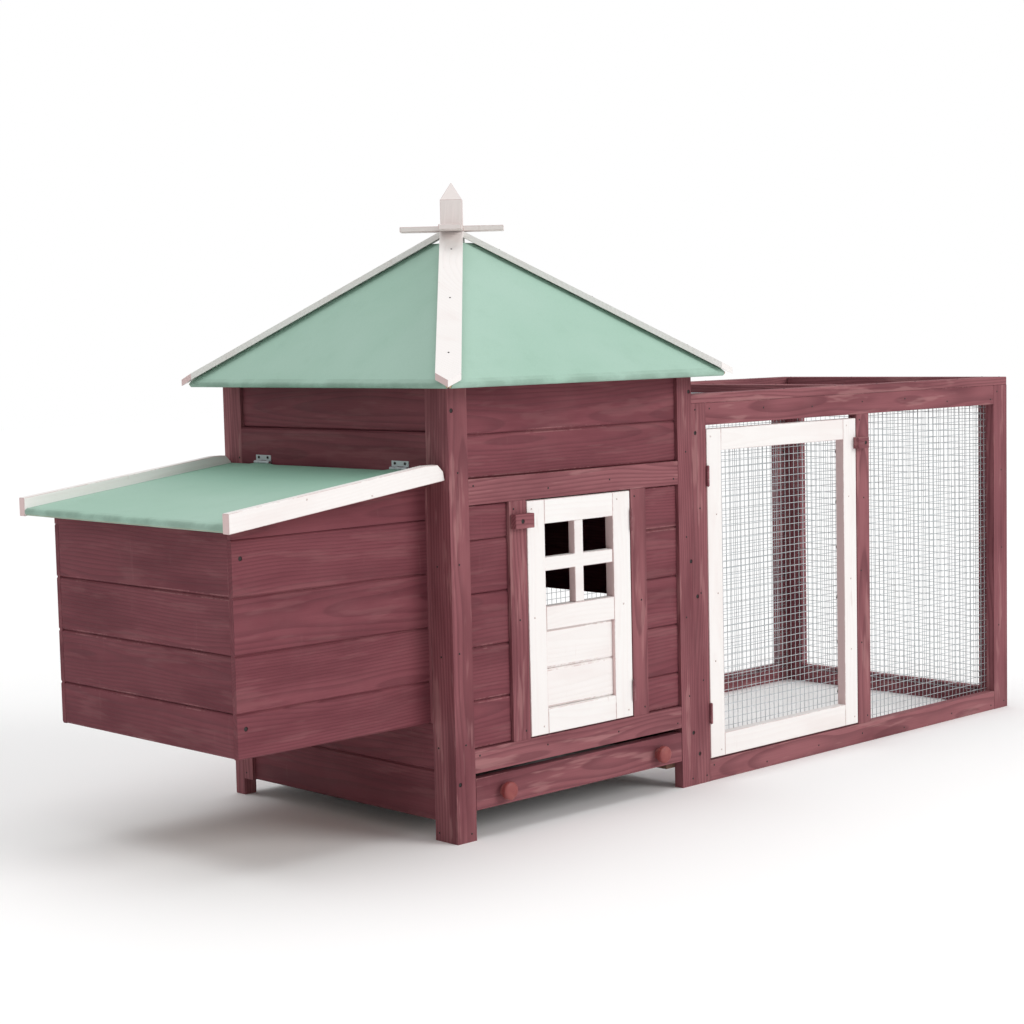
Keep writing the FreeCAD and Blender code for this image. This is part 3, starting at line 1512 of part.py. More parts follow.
def turn_buttons():
    turn_button(
        "house_door_button", d.house_button_left, d.house_pivot_side, d.house_pivot_level,
        d.house_button_length, d.house_button_height,
    )
    turn_button(
        "run_door_button", RUN_START + d.run_button_left, RUN_START + d.run_pivot_side,
        d.run_pivot_level, d.run_button_length, d.run_button_height,
    )


# ---------------------------------------------------------------- droppings tray
def tray():
    """Pull-out tray: a front board with two knobs, a sheet pan and its runners."""
    left = d.left_stile_width
    node(
        "tray_front_board",
        block(
            "tray_front", left + d.tray_gap, ZERO, d.tray_bottom,
            RIGHT_STILE - left - 2 * d.tray_gap, d.frame_thick, d.tray_front_height,
        ),
    )
    pan_x = left + d.pan_side_gap
    pan_width = RIGHT_STILE - left - 2 * d.pan_side_gap
    runner_top = d.runner_bottom + d.runner_height
    pan_z = runner_top + d.runner_play
    wall = d.pan_wall
    node(
        "tray_pan",
        cut(
            "tray_pan_sheet",
            block("pan_blank", pan_x, d.frame_thick, pan_z, pan_width, d.pan_length, d.pan_height),
            block(
                "pan_inside", pan_x + wall, d.frame_thick + wall, pan_z + wall,
                pan_width - 2 * wall, d.pan_length - 2 * wall, d.pan_height,
            ),
        ),
    )
    runner_length = d.house_depth - d.rear_post_size - d.frame_thick
    right_runner = d.house_width - d.frame_thick - d.runner_width
    runners = [
        block(
            f"tray_runner_{index}", x, d.frame_thick, d.runner_bottom,
            d.runner_width, runner_length, d.runner_height,
        )
        for index, x in enumerate((d.frame_thick, right_runner))
    ]
    node("tray_runners", *runners)

    head_end = d.knob_neck_length + d.knob_head
    knob_outline = (
        (ZERO, ZERO),
        (d.knob_neck, ZERO),
        (d.knob_neck, d.knob_neck_length),
        (d.knob_radius - d.knob_round, d.knob_neck_length),
        (d.knob_radius, d.knob_neck_length + d.knob_round),
        (d.knob_radius, head_end - d.knob_round),
        (d.knob_radius - d.knob_round, head_end),
        (ZERO, head_end),
    )
    places = (d.left_stile_width + d.knob_inset, d.house_width - d.knob_right_inset)
    knobs = [
        turned(f"tray_knob_{index}", knob_outline, x, ZERO, d.knob_level, (1, 0, 0), 90)
        for index, x in enumerate(places)
    ]
    node("tray_knobs", *knobs)


# ---------------------------------------------------------------- build and export
def build():
    left_drills, right_drills = front_wall()
    lid_drills = lid_hinge_screws()
    left_wall(left_drills, lid_drills)
    rear_wall()
    partition(right_drills)
    wall_plates()
    roof()
    hip_trims()
    finial()
    nest_box()
    nest_lid()
    hinges(lid_drills)
    run_frame()
    run_mesh()
    house_door()
    run_door()
    turn_buttons()
    tray()
    node("wood_screws", *SCREWS)
    node("hinge_screws", *SMALL_SCREWS)
    doc.recompute()


def check():
    """Stops the build when an object failed or a sub-part has no valid shape."""
    failed = [obj.Name for obj in doc.Objects if {"Invalid", "Error"} & set(obj.State)]
    if failed:
        raise SystemExit(f"objects that failed: {failed}")
    bad = [label for label, obj in NODES.items() if obj.Shape.isNull() or not obj.Shape.isValid()]
    if bad:
        raise SystemExit(f"sub-parts without a valid shape: {bad}")


def export():
    os.makedirs("parts", exist_ok=True)
    for label, obj in NODES.items():
        obj.Shape.exportStep(f"parts/{label}.step")
    solids = sum(len(obj.Shape.Solids) for obj in NODES.values())
    print(f"{len(NODES)} nodes, {solids} solids")


build()
check()
export()
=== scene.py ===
"""Chicken coop: the looks of a timber hen house with a nest box and a wire run.

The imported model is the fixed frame.  Timber nodes are taken over with eased edges and sawn grain,
and the felt, the welded mesh, the knobs, the nails and the staples are made here.
All lengths are in metres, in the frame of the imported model: +Z up, -Y towards the viewer.
"""

import functools
import json
import math

import bmesh
import bpy
import numpy as np
from mathutils import Euler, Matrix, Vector
from mathutils.bvhtree import BVHTree

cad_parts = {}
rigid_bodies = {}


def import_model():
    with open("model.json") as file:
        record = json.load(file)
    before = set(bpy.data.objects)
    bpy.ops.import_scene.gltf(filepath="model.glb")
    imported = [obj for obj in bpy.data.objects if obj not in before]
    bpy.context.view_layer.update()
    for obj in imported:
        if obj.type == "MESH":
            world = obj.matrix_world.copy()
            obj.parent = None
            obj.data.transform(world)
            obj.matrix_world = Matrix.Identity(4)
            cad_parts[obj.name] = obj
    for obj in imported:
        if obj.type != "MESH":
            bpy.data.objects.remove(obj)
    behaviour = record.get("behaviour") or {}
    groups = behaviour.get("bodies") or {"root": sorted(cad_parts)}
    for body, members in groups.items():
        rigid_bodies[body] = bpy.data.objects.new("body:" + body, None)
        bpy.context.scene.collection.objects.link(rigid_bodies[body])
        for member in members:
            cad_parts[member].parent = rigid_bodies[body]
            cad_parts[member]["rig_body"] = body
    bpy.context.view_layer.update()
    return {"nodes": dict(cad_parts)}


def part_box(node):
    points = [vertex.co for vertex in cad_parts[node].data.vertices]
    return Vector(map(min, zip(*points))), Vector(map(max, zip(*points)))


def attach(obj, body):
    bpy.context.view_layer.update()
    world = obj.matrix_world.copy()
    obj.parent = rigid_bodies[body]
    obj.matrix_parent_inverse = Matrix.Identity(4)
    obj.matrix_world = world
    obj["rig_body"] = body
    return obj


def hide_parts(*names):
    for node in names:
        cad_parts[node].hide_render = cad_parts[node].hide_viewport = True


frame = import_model()

bl_info = {
    "name": "Chicken Coop",
    "version": (1, 0, 0),
    "blender": (4, 5, 0),
    "location": "View3D > Sidebar > Coop",
    "description": "Builds the timber, felt, mesh and fittings of a chicken coop on its frame",
    "category": "Object",
}

STAINED_FRAMES = (
    "front_stiles", "front_rails", "front_door_posts", "left_stiles", "nest_opening_jambs",
    "nest_opening_rails", "rear_posts", "partition_stiles", "pop_hole_battens", "wall_plates",
    "nest_corner_battens", "run_uprights", "run_end_stiles", "run_rails", "run_roof_rails",
    "run_roof_crossbars", "run_fixing_battens", "house_door_button", "run_door_button",
    "tray_front_board",
)
STAINED_BOARDS = (
    "front_boards", "left_boards", "rear_boards", "partition_boards", "nest_side_boards",
    "nest_outer_boards",
)
PAINTED = (
    "hip_trims", "lid_trims", "house_door_stiles", "house_door_rails", "house_door_window_bars",
    "run_door_stiles", "run_door_rails", "house_door_boards",
)
THINLY_PAINTED = ("king_post", "finial_slat_lower", "finial_slat_upper", "finial_cap")
BARE = (
    "roof_boards_front_rear", "roof_boards_sides", "lid_board", "nest_floor", "nest_divider",
    "tray_runners",
)
STAINED_HINGES = (
    "door_post_hinge_leaves", "hinge_pins", "house_door_hinge_leaves", "run_door_hinge_leaves",
)
ZINC_HINGES = ("lid_wall_hinge_leaves", "lid_hinge_leaves")
SCREWS = ("wood_screws", "hinge_screws")
MESH_PANELS = ("run_front_mesh", "run_rear_mesh", "run_end_mesh", "run_roof_mesh")
# For every body, its nailed nodes and the axis that their nails are driven along.
NAILED = {
    "coop": (
        ("front_stiles", 1), ("front_rails", 1), ("front_door_posts", 1), ("left_stiles", 0),
        ("rear_posts", 1), ("run_uprights", 1), ("run_rails", 1), ("run_roof_rails", 2),
        ("run_roof_crossbars", 2),
    ),
    "nest_lid": (("lid_trims", 1),),
    "house_door": (("house_door_stiles", 1),),
    "run_door": (("run_door_stiles", 1),),
}


# ------------------------------------------------------------------ sizes and colours
def number(name, value, description, **kind):
    return bpy.props.FloatProperty(name=name, description=description, default=value, **kind)


def length(name, value, description):
    return number(name, value, description, subtype="DISTANCE", unit="LENGTH", precision=5)


def angle(name, degrees, description):
    return number(name, math.radians(degrees), description, subtype="ANGLE", unit="ROTATION")


def colour(name, value, description):
    return bpy.props.FloatVectorProperty(
        name=name, description=description, default=value, size=3, subtype="COLOR", min=0, max=1
    )


class CoopTimberSizes(bpy.types.PropertyGroup):
    edge_round: length("Eased edge", 0.0011, "Rounding of every timber edge")
    ring_spacing: length("Ring spacing", 0.0052, "Distance between growth rings")
    stain: colour("Stain", (0.200, 0.056, 0.070), "Red-brown stain on the boards")
    stain_pale: colour("Pale stain", (0.287, 0.104, 0.117), "Thinner stain on the frames")
    stain_dark: colour("Dark stain", (0.098, 0.019, 0.028), "Stain where it soaks in")
    stain_worn: colour("Worn stain", (0.42, 0.205, 0.205), "Weathered streaks in the stain")
    paint: colour("Paint", (0.885, 0.865, 0.85), "White paint of trims and doors")
    paint_thin: colour("Thin paint", (0.80, 0.72, 0.70), "Paint where knots and rings show through")
    bare: colour("Bare wood", (0.56, 0.39, 0.23), "Unpainted boards")
    knob: colour("Knob stain", (0.27, 0.052, 0.050), "Stain of the tray knobs")


class CoopFeltSizes(bpy.types.PropertyGroup):
    thickness: length("Thickness", 0.002, "Thickness of the roofing felt")
    wrap: length("Wrap", 0.020, "How far the felt goes back under the eave")
    roof_rise: length("Roof rise", 0.227, "Eave to the top end of a roof panel")
    top_half: length("Top opening", 0.027, "Half the square hole at the top of the roof")
    hip_gap: length("Hip gap", 0.0015, "Half the open joint along each hip")
    corner_clip: length("Corner clip", 0.010, "Cut-off corner of a panel, along the eave")
    lid_rise: length("Lid rise", 0.049, "Rise of the nest lid over its length")
    lid_board: length("Lid board", 0.008, "Thickness of the nest lid board")
    roof_board: length("Roof board", 0.006, "Thickness of a roof board")
    leaf_width: length("Hinge leaf", 0.040, "Width of a hinge leaf under the lid felt")
    leaf_lift: length("Leaf lift", 0.0016, "How far the felt rises over a hinge leaf")
    ripple: length("Ripple", 0.0006, "Height of the waves in the felt")
    green: colour("Green", (0.325, 0.505, 0.410), "Mineral coating of the felt")
    green_dark: colour("Dark green", (0.235, 0.395, 0.305), "Coating where it is thin or damp")
    green_pale: colour("Pale green", (0.365, 0.535, 0.450), "Coating where it is bleached")


class CoopMeshSizes(bpy.types.PropertyGroup):
    pitch: length("Mesh pitch", 0.0127, "Distance between two wires")
    wire: length("Wire", 0.0011, "Diameter of a mesh wire, with its zinc")
    wander: length("Wander", 0.00022, "How far a wire strays from its straight line")
    zinc: colour("Zinc", (0.52, 0.565, 0.59), "Zinc coating of mesh and lid hinges")


class CoopNailSizes(bpy.types.PropertyGroup):
    head: length("Nail head", 0.0034, "Diameter of a nail head")
    inset: length("Nail inset", 0.012, "Distance of a nail from the end of its piece")
    pitch: length("Nail pitch", 0.135, "Distance between two nails along a piece")
    staple_crown: length("Staple crown", 0.009, "Width of a staple")
    staple_leg: length("Staple leg", 0.004, "Depth of a staple in the timber")
    staple_inset: length("Staple inset", 0.006, "Distance of a staple from the edge of its mesh")
    staple_pitch: length("Staple pitch", 0.0889, "Distance between two staples")


class CoopStageSizes(bpy.types.PropertyGroup):
    eye: bpy.props.FloatVectorProperty(
        name="Eye", description="Place of the camera", default=(-2.67787, -2.62024, 0.78769),
        size=3, subtype="TRANSLATION", unit="LENGTH",
    )
    heading: angle("Heading", -43.920, "Turn of the view about the vertical, from +Y to the left")
    pitch: angle("Pitch", -4.962, "Tilt of the view, upwards positive")
    roll: angle("Roll", -1.309, "Roll of the view about its own axis")
    lens: number("Lens", 73.105, "Focal length in millimetres on a 36 mm sensor")
    floor: colour("Floor", (0.97, 0.97, 0.97), "Studio floor")
    backdrop: colour("Backdrop", (1.0, 1.0, 1.0), "Colour of the backdrop and its glow")
    glow: number("Glow", 0.48, "Strength of the light from all round")
    key: number("Key light", 1.36, "Strength of the front light")
    key_spread: angle("Key spread", 30, "Angle that the front light fills")
    top: number("Top light", 1.38, "Strength of the overhead light")
    top_spread: angle("Top spread", 60, "Angle that the overhead light fills")


GROUPS = {
    "timber": CoopTimberSizes, "felt": CoopFeltSizes, "mesh": CoopMeshSizes,
    "nails": CoopNailSizes, "stage": CoopStageSizes,
}


def sizes(name):
    return getattr(bpy.context.scene, "coop_" + name)


# ------------------------------------------------------------------ node helpers
class Tree:
    """Adds nodes to a tree and joins them from left to right."""

    def __init__(self, tree):
        self.tree = tree
        self.count = 0

    def add(self, kind, inputs=(), **settings):
        """A new node; inputs is a dict of socket name or index to a value or a socket."""
        node = self.tree.nodes.new(kind)
        self.count += 1
        node.location = (200 * (self.count // 4), -220 * (self.count % 4))
        for name, value in settings.items():
            setattr(node, name, value)
        for name, value in dict(inputs).items():
            self.feed(node.inputs[name], value)
        return node

    def feed(self, socket, value):
        if isinstance(value, bpy.types.NodeSocket):
            self.tree.links.new(value, socket)
        elif socket.type == "RGBA":
            socket.default_value = (*value[:3], 1)
        else:
            socket.default_value = value

    def math(self, operation, first, second=0.0, third=0.0):
        inputs = {0: first, 1: second, 2: third}
        return self.add("ShaderNodeMath", inputs, operation=operation).outputs[0]

    def times(self, first, second):
        return self.math("MULTIPLY", first, second)

    def step(self, value, low, high, to_low=0.0, to_high=1.0):
        """Smooth step of a value from low to high."""
        inputs = {0: value, 1: low, 2: high, 3: to_low, 4: to_high}
        node = self.add("ShaderNodeMapRange", inputs, interpolation_type="SMOOTHSTEP")
        return node.outputs[0]

    def noise(self, vector, scale, detail=2.0, roughness=0.5):
        inputs = {"Vector": vector, "Scale": scale, "Detail": detail, "Roughness": roughness}
        return self.add("ShaderNodeTexNoise", inputs).outputs["Fac"]

    def stretch(self, vector, factors):
        inputs = {0: vector, 1: factors}
        return self.add("ShaderNodeVectorMath", inputs, operation="MULTIPLY").outputs[0]

    def waves(self, vector, factors, detail, roughness=0.5):
        """Noise with its own number of waves per metre along each axis."""
        return self.noise(self.stretch(vector, factors), 1.0, detail, roughness)

    def scale(self, vector, factor):
        inputs = {0: vector, "Scale": factor}
        return self.add("ShaderNodeVectorMath", inputs, operation="SCALE").outputs[0]

    def parts(self, vector):
        return self.add("ShaderNodeSeparateXYZ", {0: vector}).outputs

    def first_part(self, cell_colour):
        return self.add("ShaderNodeSeparateColor", {0: cell_colour}).outputs[0]

    def place(self):
        return self.add("ShaderNodeTexCoord").outputs["Object"]

    def attribute(self, name, output="Fac"):
        return self.add("ShaderNodeAttribute", attribute_name=name).outputs[output]

    def mix(self, factor, first, second):
        """The first colour, going over to the second as the factor goes to 1."""
        inputs = {"Factor": factor, 6: first, 7: second}
        return self.add("ShaderNodeMix", inputs, data_type="RGBA").outputs[2]

    def coats(self, base, *coats):
        """A base colour under coats, each a mask, how much of it shows, and its colour."""
        for mask, amount, tint in coats:
            base = self.mix(self.times(mask, amount), base, tint)
        return base

    def bump(self, height, distance, strength):
        inputs = {"Strength": strength, "Distance": distance, "Height": height}
        return self.add("ShaderNodeBump", inputs).outputs["Normal"]


def node_group(name, inputs, outputs):
    """Makes build(tree, inputs), which gives a dict of output sockets, a function that places
    the shader node group in a tree with its own values.  An input of None is a vector."""

    def wrap(build):
        @functools.wraps(build)
        def place(tree, **values):
            group = bpy.data.node_groups.get(name)
            if group is None:
                group = bpy.data.node_groups.new(name, "ShaderNodeTree")
                for label, value in inputs.items():
                    kind = "NodeSocketVector" if value is None else "NodeSocketFloat"
                    socket = group.interface.new_socket(label, in_out="INPUT", socket_type=kind)
                    if value is not None:
                        socket.default_value = value
                for label in outputs:
                    group.interface.new_socket(
                        label, in_out="OUTPUT", socket_type="NodeSocketFloat"
                    )
                source = group.nodes.new("NodeGroupInput")
                target = group.nodes.new("NodeGroupOutput")
                for label, socket in build(Tree(group), source.outputs).items():
                    group.links.new(socket, target.inputs[label])
            return tree.add("ShaderNodeGroup", values, node_tree=group).outputs

        return place

    return wrap


# Waves per metre along, across and through a board.
BEND_WAVES = (2.6, 9.0, 9.0)
KNOT_CELLS = (3.4, 11.0, 0.0)
FIBRE_WAVES = (9.0, 760.0, 760.0)
STREAK_WAVES = (6.0, 46.0, 46.0)
BLOTCH_WAVES = (3.6, 20.0, 20.0)
# Metres that slow noise bends a growth ring, and that a knot pushes it outwards.
RING_BEND = 0.034
KNOT_PUSH = 0.011
# Distance between the rings of a knob, which is turned from slow-grown wood.
KNOB_RINGS = 0.0022


@node_group(
    "sawn_grain",
    {"Grain": None, "Spacing": 0.005, "Knots": 0.2},
    ("Latewood", "Fibre", "Streak", "Blotch", "Knot", "Halo", "Height"),
)
def sawn_grain(tree, inputs):
    """Growth rings, fibres and knots of a board, from its own length, width and depth.

    The rings are cylinders about the heart of the log, which lies under the board.  Slow noise
    bends them, and each knot pushes them outwards, so the lines flow round it."""
    board = inputs["Grain"]
    parts = tree.parts(board)
    across = tree.add("ShaderNodeCombineXYZ", {1: parts[1], 2: parts[2]}).outputs[0]
    radius = tree.add("ShaderNodeVectorMath", {0: across}, operation="LENGTH").outputs["Value"]
    places = {"Vector": tree.stretch(board, KNOT_CELLS), "Scale": 1.0, "Randomness": 0.8}
    cells = tree.add("ShaderNodeTexVoronoi", places).outputs
    fewest = tree.math("SUBTRACT", 1.0, inputs["Knots"])
    kept = tree.math("GREATER_THAN", tree.first_part(cells["Color"]), fewest)
    knot = tree.times(tree.step(cells["Distance"], 0.055, 0.035), kept)
    halo = tree.times(tree.step(cells["Distance"], 0.26, 0.02), kept)
    bend = tree.waves(board, BEND_WAVES, 1.0)
    bent = tree.math("MULTIPLY_ADD", bend, RING_BEND, radius)
    pushed = tree.math("MULTIPLY_ADD", halo, KNOT_PUSH, bent)
    phase = tree.math("FRACT", tree.math("DIVIDE", pushed, inputs["Spacing"]))
    latewood = tree.times(tree.step(phase, 0.30, 0.88), tree.step(phase, 1.0, 0.90))
    fibre = tree.waves(board, FIBRE_WAVES, 2.0, 0.6)
    return {
        "Latewood": latewood,
        "Fibre": fibre,
        "Streak": tree.waves(board, STREAK_WAVES, 3.0, 0.6),
        "Blotch": tree.waves(board, BLOTCH_WAVES, 3.0, 0.55),
        "Knot": knot,
        "Halo": halo,
        "Height": tree.math("MULTIPLY_ADD", fibre, 0.5, tree.times(latewood, 0.6)),
    }


@node_group("edge_wear", {"Amount": 0.4}, ("Wear",))
def edge_wear(tree, inputs):
    """Rubbed edges: the eased edges of a piece, broken up by noise."""
    place = tree.place()
    rough = tree.math("MULTIPLY_ADD", tree.noise(place, 160.0), 0.5, tree.noise(place, 9.0, 3.0))
    low = tree.math("SUBTRACT", 1.05, inputs["Amount"])
    mask = tree.step(rough, low, tree.math("ADD", low, 0.2))
    return {"Wear": tree.times(mask, tree.attribute("edge"))}


@node_group("weather", {"Dust": 0.3, "Scuffs": 0.3}, ("Dust", "Scuff"))
def weathering(tree, inputs):
    """Dust and scuffs: soft patches that gather low on the coop, and sparse fine marks."""
    place = tree.place()
    low = tree.step(tree.parts(place)[2], 0.16, 0.0)
    patch = tree.step(tree.noise(place, 14.0, 4.0, 0.6), 0.42, 0.75)
    dust = tree.times(patch, inputs["Dust"])
    scuff = tree.step(tree.waves(place, (60, 60, 9), 3.0, 0.7), 0.66, 0.74)
    return {
        "Dust": tree.math("MULTIPLY_ADD", low, tree.times(inputs["Dust"], 0.5), dust),
        "Scuff": tree.times(scuff, inputs["Scuffs"]),
    }


# ------------------------------------------------------------------ materials
def surface_finish(name):
    """Makes build(tree), which gives the values of the Principled sockets, a function that
    gives the material and makes it once."""

    def wrap(build):
        @functools.wraps(build)
        def make():
            material = bpy.data.materials.get(name)
            if material is None:
                material = bpy.data.materials.new(name)
                material.use_nodes = True
                tree = Tree(material.node_tree)
                shader = material.node_tree.nodes["Principled BSDF"]
                for socket, value in build(tree).items():
                    tree.feed(shader.inputs[socket], value)
            return material

        return make

    return wrap


def skin(tint, rough, normal, metal=0.0):
    return {"Base Color": tint, "Roughness": rough, "Normal": normal, "Metallic": metal}


def board_grain(tree, spacing, knots):
    return sawn_grain(tree, Grain=tree.attribute("grain", "Vector"), Spacing=spacing, Knots=knots)


@surface_finish("red_stained_fir")
def stained_wood(tree):
    """Sawn fir under a thin red-brown stain: the frames paler than the boards, darker rings,
    and long pointed streaks where the weather has taken the stain off."""
    look = sizes("timber")
    wood = board_grain(tree, look.ring_spacing, 0.16)
    tone = tree.attribute("tone")
    wear = edge_wear(tree, Amount=0.30)["Wear"]
    weather = weathering(tree, Dust=0.04, Scuffs=0.10)
    deep = tree.mix(tree.step(tone, 0.0, 0.5), look.stain_dark, look.stain)
    stained = tree.coats(
        tree.mix(tree.step(tone, 0.5, 1.0), deep, look.stain_pale),
        (tree.step(wood["Blotch"], 0.40, 0.72), 0.55, look.stain_dark),
        (wood["Latewood"], 0.46, look.stain_dark),
        (
            tree.step(wood["Streak"], 0.535, 0.64),
            tree.step(tone, 0.50, 0.80, 0.10, 0.42), look.stain_worn,
        ),
        (wood["Knot"], 0.75, (0.055, 0.012, 0.016)),
        (wood["Halo"], 0.20, (0.09, 0.02, 0.028)),
        (weather["Dust"], 1.0, (0.36, 0.22, 0.21)),
        (weather["Scuff"], 0.6, look.stain_worn),
        (wear, 0.35, look.stain_worn),
    )
    toned = tree.scale(stained, tree.step(wood["Fibre"], 0.2, 0.8, 0.93, 1.07))
    rough = tree.step(wood["Latewood"], 0.0, 1.0, 0.74, 0.60)
    sockets = skin(toned, rough, tree.bump(wood["Height"], 0.0005, 0.45))
    return {**sockets, "Specular IOR Level": 0.22}


@surface_finish("white_painted_fir")
def painted_wood(tree):
    """Sawn fir under thin white paint: grain in relief, knots and edges shining through, and
    pink on the sides that face along X: partly the red stain under thin paint, and partly
    painted shade and painted red bounce light from the stained wood."""
    look = sizes("timber")
    wood = board_grain(tree, look.ring_spacing, 0.13)
    tone = tree.attribute("tone")
    wear = edge_wear(tree, Amount=0.46)["Wear"]
    weather = weathering(tree, Dust=0.04, Scuffs=0.25)
    side_for_painted_bounce = tree.parts(tree.add("ShaderNodeTexCoord").outputs["Normal"])[0]
    painted = tree.coats(
        tree.mix(tone, look.paint_thin, look.paint),
        (wood["Latewood"], 0.16, look.paint_thin),
        (tree.step(wood["Blotch"], 0.48, 0.74), 0.5, look.paint_thin),
        # pink on sides facing along X: stain under thin paint, plus painted shade and red bounce
        # light
        (tree.step(tree.math("ABSOLUTE", side_for_painted_bounce), 0.80, 0.97), 0.80, (0.72, 0.49, 0.48)),
        (wood["Halo"], 0.16, (0.66, 0.50, 0.46)),
        (wood["Knot"], 0.45, (0.42, 0.26, 0.23)),
        (weather["Dust"], 1.0, (0.62, 0.53, 0.49)),
        (weather["Scuff"], 1.0, (0.60, 0.46, 0.43)),
        (wear, 0.5, (0.50, 0.32, 0.31)),
    )
    rough = tree.step(wood["Latewood"], 0.0, 1.0, 0.58, 0.46)
    return skin(painted, rough, tree.bump(wood["Height"], 0.0005, 0.45))


@surface_finish("unpainted_fir")
def bare_wood(tree):
    """Unpainted softwood, pale with amber rings, and darker towards the bottom."""
    look = sizes("timber")
    wood = board_grain(tree, look.ring_spacing, 0.2)
    tone = tree.attribute("tone")
    weather = weathering(tree, Dust=0.18, Scuffs=0.2)
    height = tree.parts(tree.place())[2]
    bare = tree.coats(
        look.bare,
        (wood["Latewood"], 0.55, (0.36, 0.20, 0.09)),
        (wood["Knot"], 0.8, (0.16, 0.07, 0.03)),
        (weather["Dust"], 1.0, (0.33, 0.25, 0.18)),
        # darker towards the bottom, from about 0.3 m down
        (tree.step(height, 0.30, 0.16), 0.85, (0.11, 0.05, 0.04)),
    )
    toned = tree.scale(bare, tree.step(tone, 0.0, 1.0, 0.88, 1.10))
    rough = tree.step(wood["Fibre"], 0.2, 0.8, 0.66, 0.82)
    return skin(toned, rough, tree.bump(wood["Height"], 0.0005, 0.5))


@surface_finish("red_stained_knob")
def knob_wood(tree):
    """Turned wood under a red stain, with rings round the axis on its end grain."""
    wood = board_grain(tree, KNOB_RINGS, 0.0)
    stained = tree.coats(
        sizes("timber").knob,
        (wood["Latewood"], 0.5, (0.17, 0.03, 0.034)),
        (tree.step(wood["Streak"], 0.45, 0.8), 0.5, (0.40, 0.12, 0.10)),
        (edge_wear(tree, Amount=0.3)["Wear"], 0.4, (0.55, 0.25, 0.2)),
    )
    rough = tree.step(wood["Fibre"], 0.2, 0.8, 0.45, 0.62)
    return skin(stained, rough, tree.bump(wood["Height"], 0.0004, 0.5))


@surface_finish("mineral_felt")
def mineral_felt(tree):
    """Roofing felt with a green mineral coat: fine grains, paler bleached patches, darker
    scuffs, and painted shade on the lid, deepening towards the wall."""
    look = sizes("felt")
    place = tree.place()
    grit = tree.noise(place, 1500.0, 1.0)
    fine = tree.noise(place, 520.0, 2.0, 0.7)
    cloud = tree.noise(place, 3.2, 4.0, 0.55)
    patch = tree.noise(place, 17.0, 4.0, 0.6)
    parts = tree.parts(place)
    painted_wall_shade = tree.step(parts[0], -0.86, -0.58, 0.0, 0.75)
    edge = tree.attribute("edge")
    coated = tree.coats(
        tree.mix(tree.step(cloud, 0.30, 0.72), look.green, look.green_pale),
        (tree.step(patch, 0.50, 0.80), 0.22, look.green_dark),
        # painted shade on the lid felt, deepening towards the wall
        (tree.step(parts[2], 0.66, 0.60), painted_wall_shade, (0.17, 0.37, 0.27)),
        (tree.step(fine, 0.55, 0.72), 0.30, look.green_dark),
        (tree.step(grit, 0.56, 0.70), 0.35, (0.50, 0.64, 0.565)),
        (tree.times(edge, tree.step(patch, 0.30, 0.62)), 0.45, (0.16, 0.24, 0.19)),
    )
    rough = tree.step(grit, 0.3, 0.7, 0.78, 0.93)
    relief = tree.math("MULTIPLY_ADD", grit, 0.5, fine)
    return skin(coated, rough, tree.bump(relief, 0.0005, 0.5))


def zinc_coat(tree, dull):
    """Zinc coated steel: spangled grey, with white bloom and darker handling marks."""
    place = tree.place()
    spangle = tree.add("ShaderNodeTexVoronoi", {"Vector": place, "Scale": 260.0}).outputs["Color"]
    bloom = tree.noise(place, 70.0, 4.0, 0.6)
    marks = tree.noise(place, 24.0, 3.0, 0.6)
    zinc = tree.coats(
        sizes("mesh").zinc,
        (tree.first_part(spangle), 0.35, (0.42, 0.45, 0.46)),
        (tree.step(bloom, 0.46, 0.70), 0.6, (0.62, 0.65, 0.66)),
        (tree.step(marks, 0.55, 0.80), 0.5, (0.28, 0.27, 0.26)),
    )
    rough = tree.step(bloom, 0.35, 0.75, 0.32 + dull / 4, 0.62)
    metal = tree.step(bloom, 0.40, 0.75, 1.0 - dull, 0.55 - dull / 2)
    return skin(zinc, rough, tree.bump(bloom, 0.0002, 0.3), metal)


@surface_finish("mesh_zinc")
def mesh_zinc(tree):
    """Weathered zinc on the welded wire."""
    return zinc_coat(tree, 0.45)


@surface_finish("hinge_zinc")
def hinge_zinc(tree):
    """Brighter zinc on the lid hinges."""
    return zinc_coat(tree, 0.3)


@surface_finish("pan_steel")
def pan_steel(tree):
    """Dull dark grey sheet steel, stained and scratched by use. Its darkness is partly painted
    shade, standing for the dark gap above the tray.
    """
    place = tree.place()
    stains = tree.noise(place, 11.0, 4.0, 0.6)
    scratch = tree.waves(place, (260.0, 12.0, 12.0), 3.0, 0.6)
    steel = tree.coats(
        # dark grey base: partly the steel's own colour, partly painted shade in the gap over the
        # tray
        tree.mix(tree.step(stains, 0.35, 0.65), (0.19, 0.19, 0.19), (0.10, 0.09, 0.08)),
        (tree.step(scratch, 0.60, 0.74), 0.4, (0.34, 0.34, 0.34)),
    )
    rough = tree.step(stains, 0.35, 0.65, 0.48, 0.75)
    metal = tree.step(stains, 0.35, 0.65, 0.7, 0.3)
    return skin(steel, rough, tree.bump(scratch, 0.0002, 0.2), metal)


@surface_finish("painted_nail")
def filled_nail(tree):
    """Nail heads that were painted over white, with rust coming through."""
    rust = tree.noise(tree.place(), 600.0, 2.0, 0.6)
    painted = tree.mix(
        tree.step(rust, 0.42, 0.62), sizes("timber").paint_thin, (0.36, 0.26, 0.23)
    )
    rough = tree.step(rust, 0.42, 0.62, 0.5, 0.8)
    return skin(painted, rough, tree.bump(rust, 0.0002, 0.3))


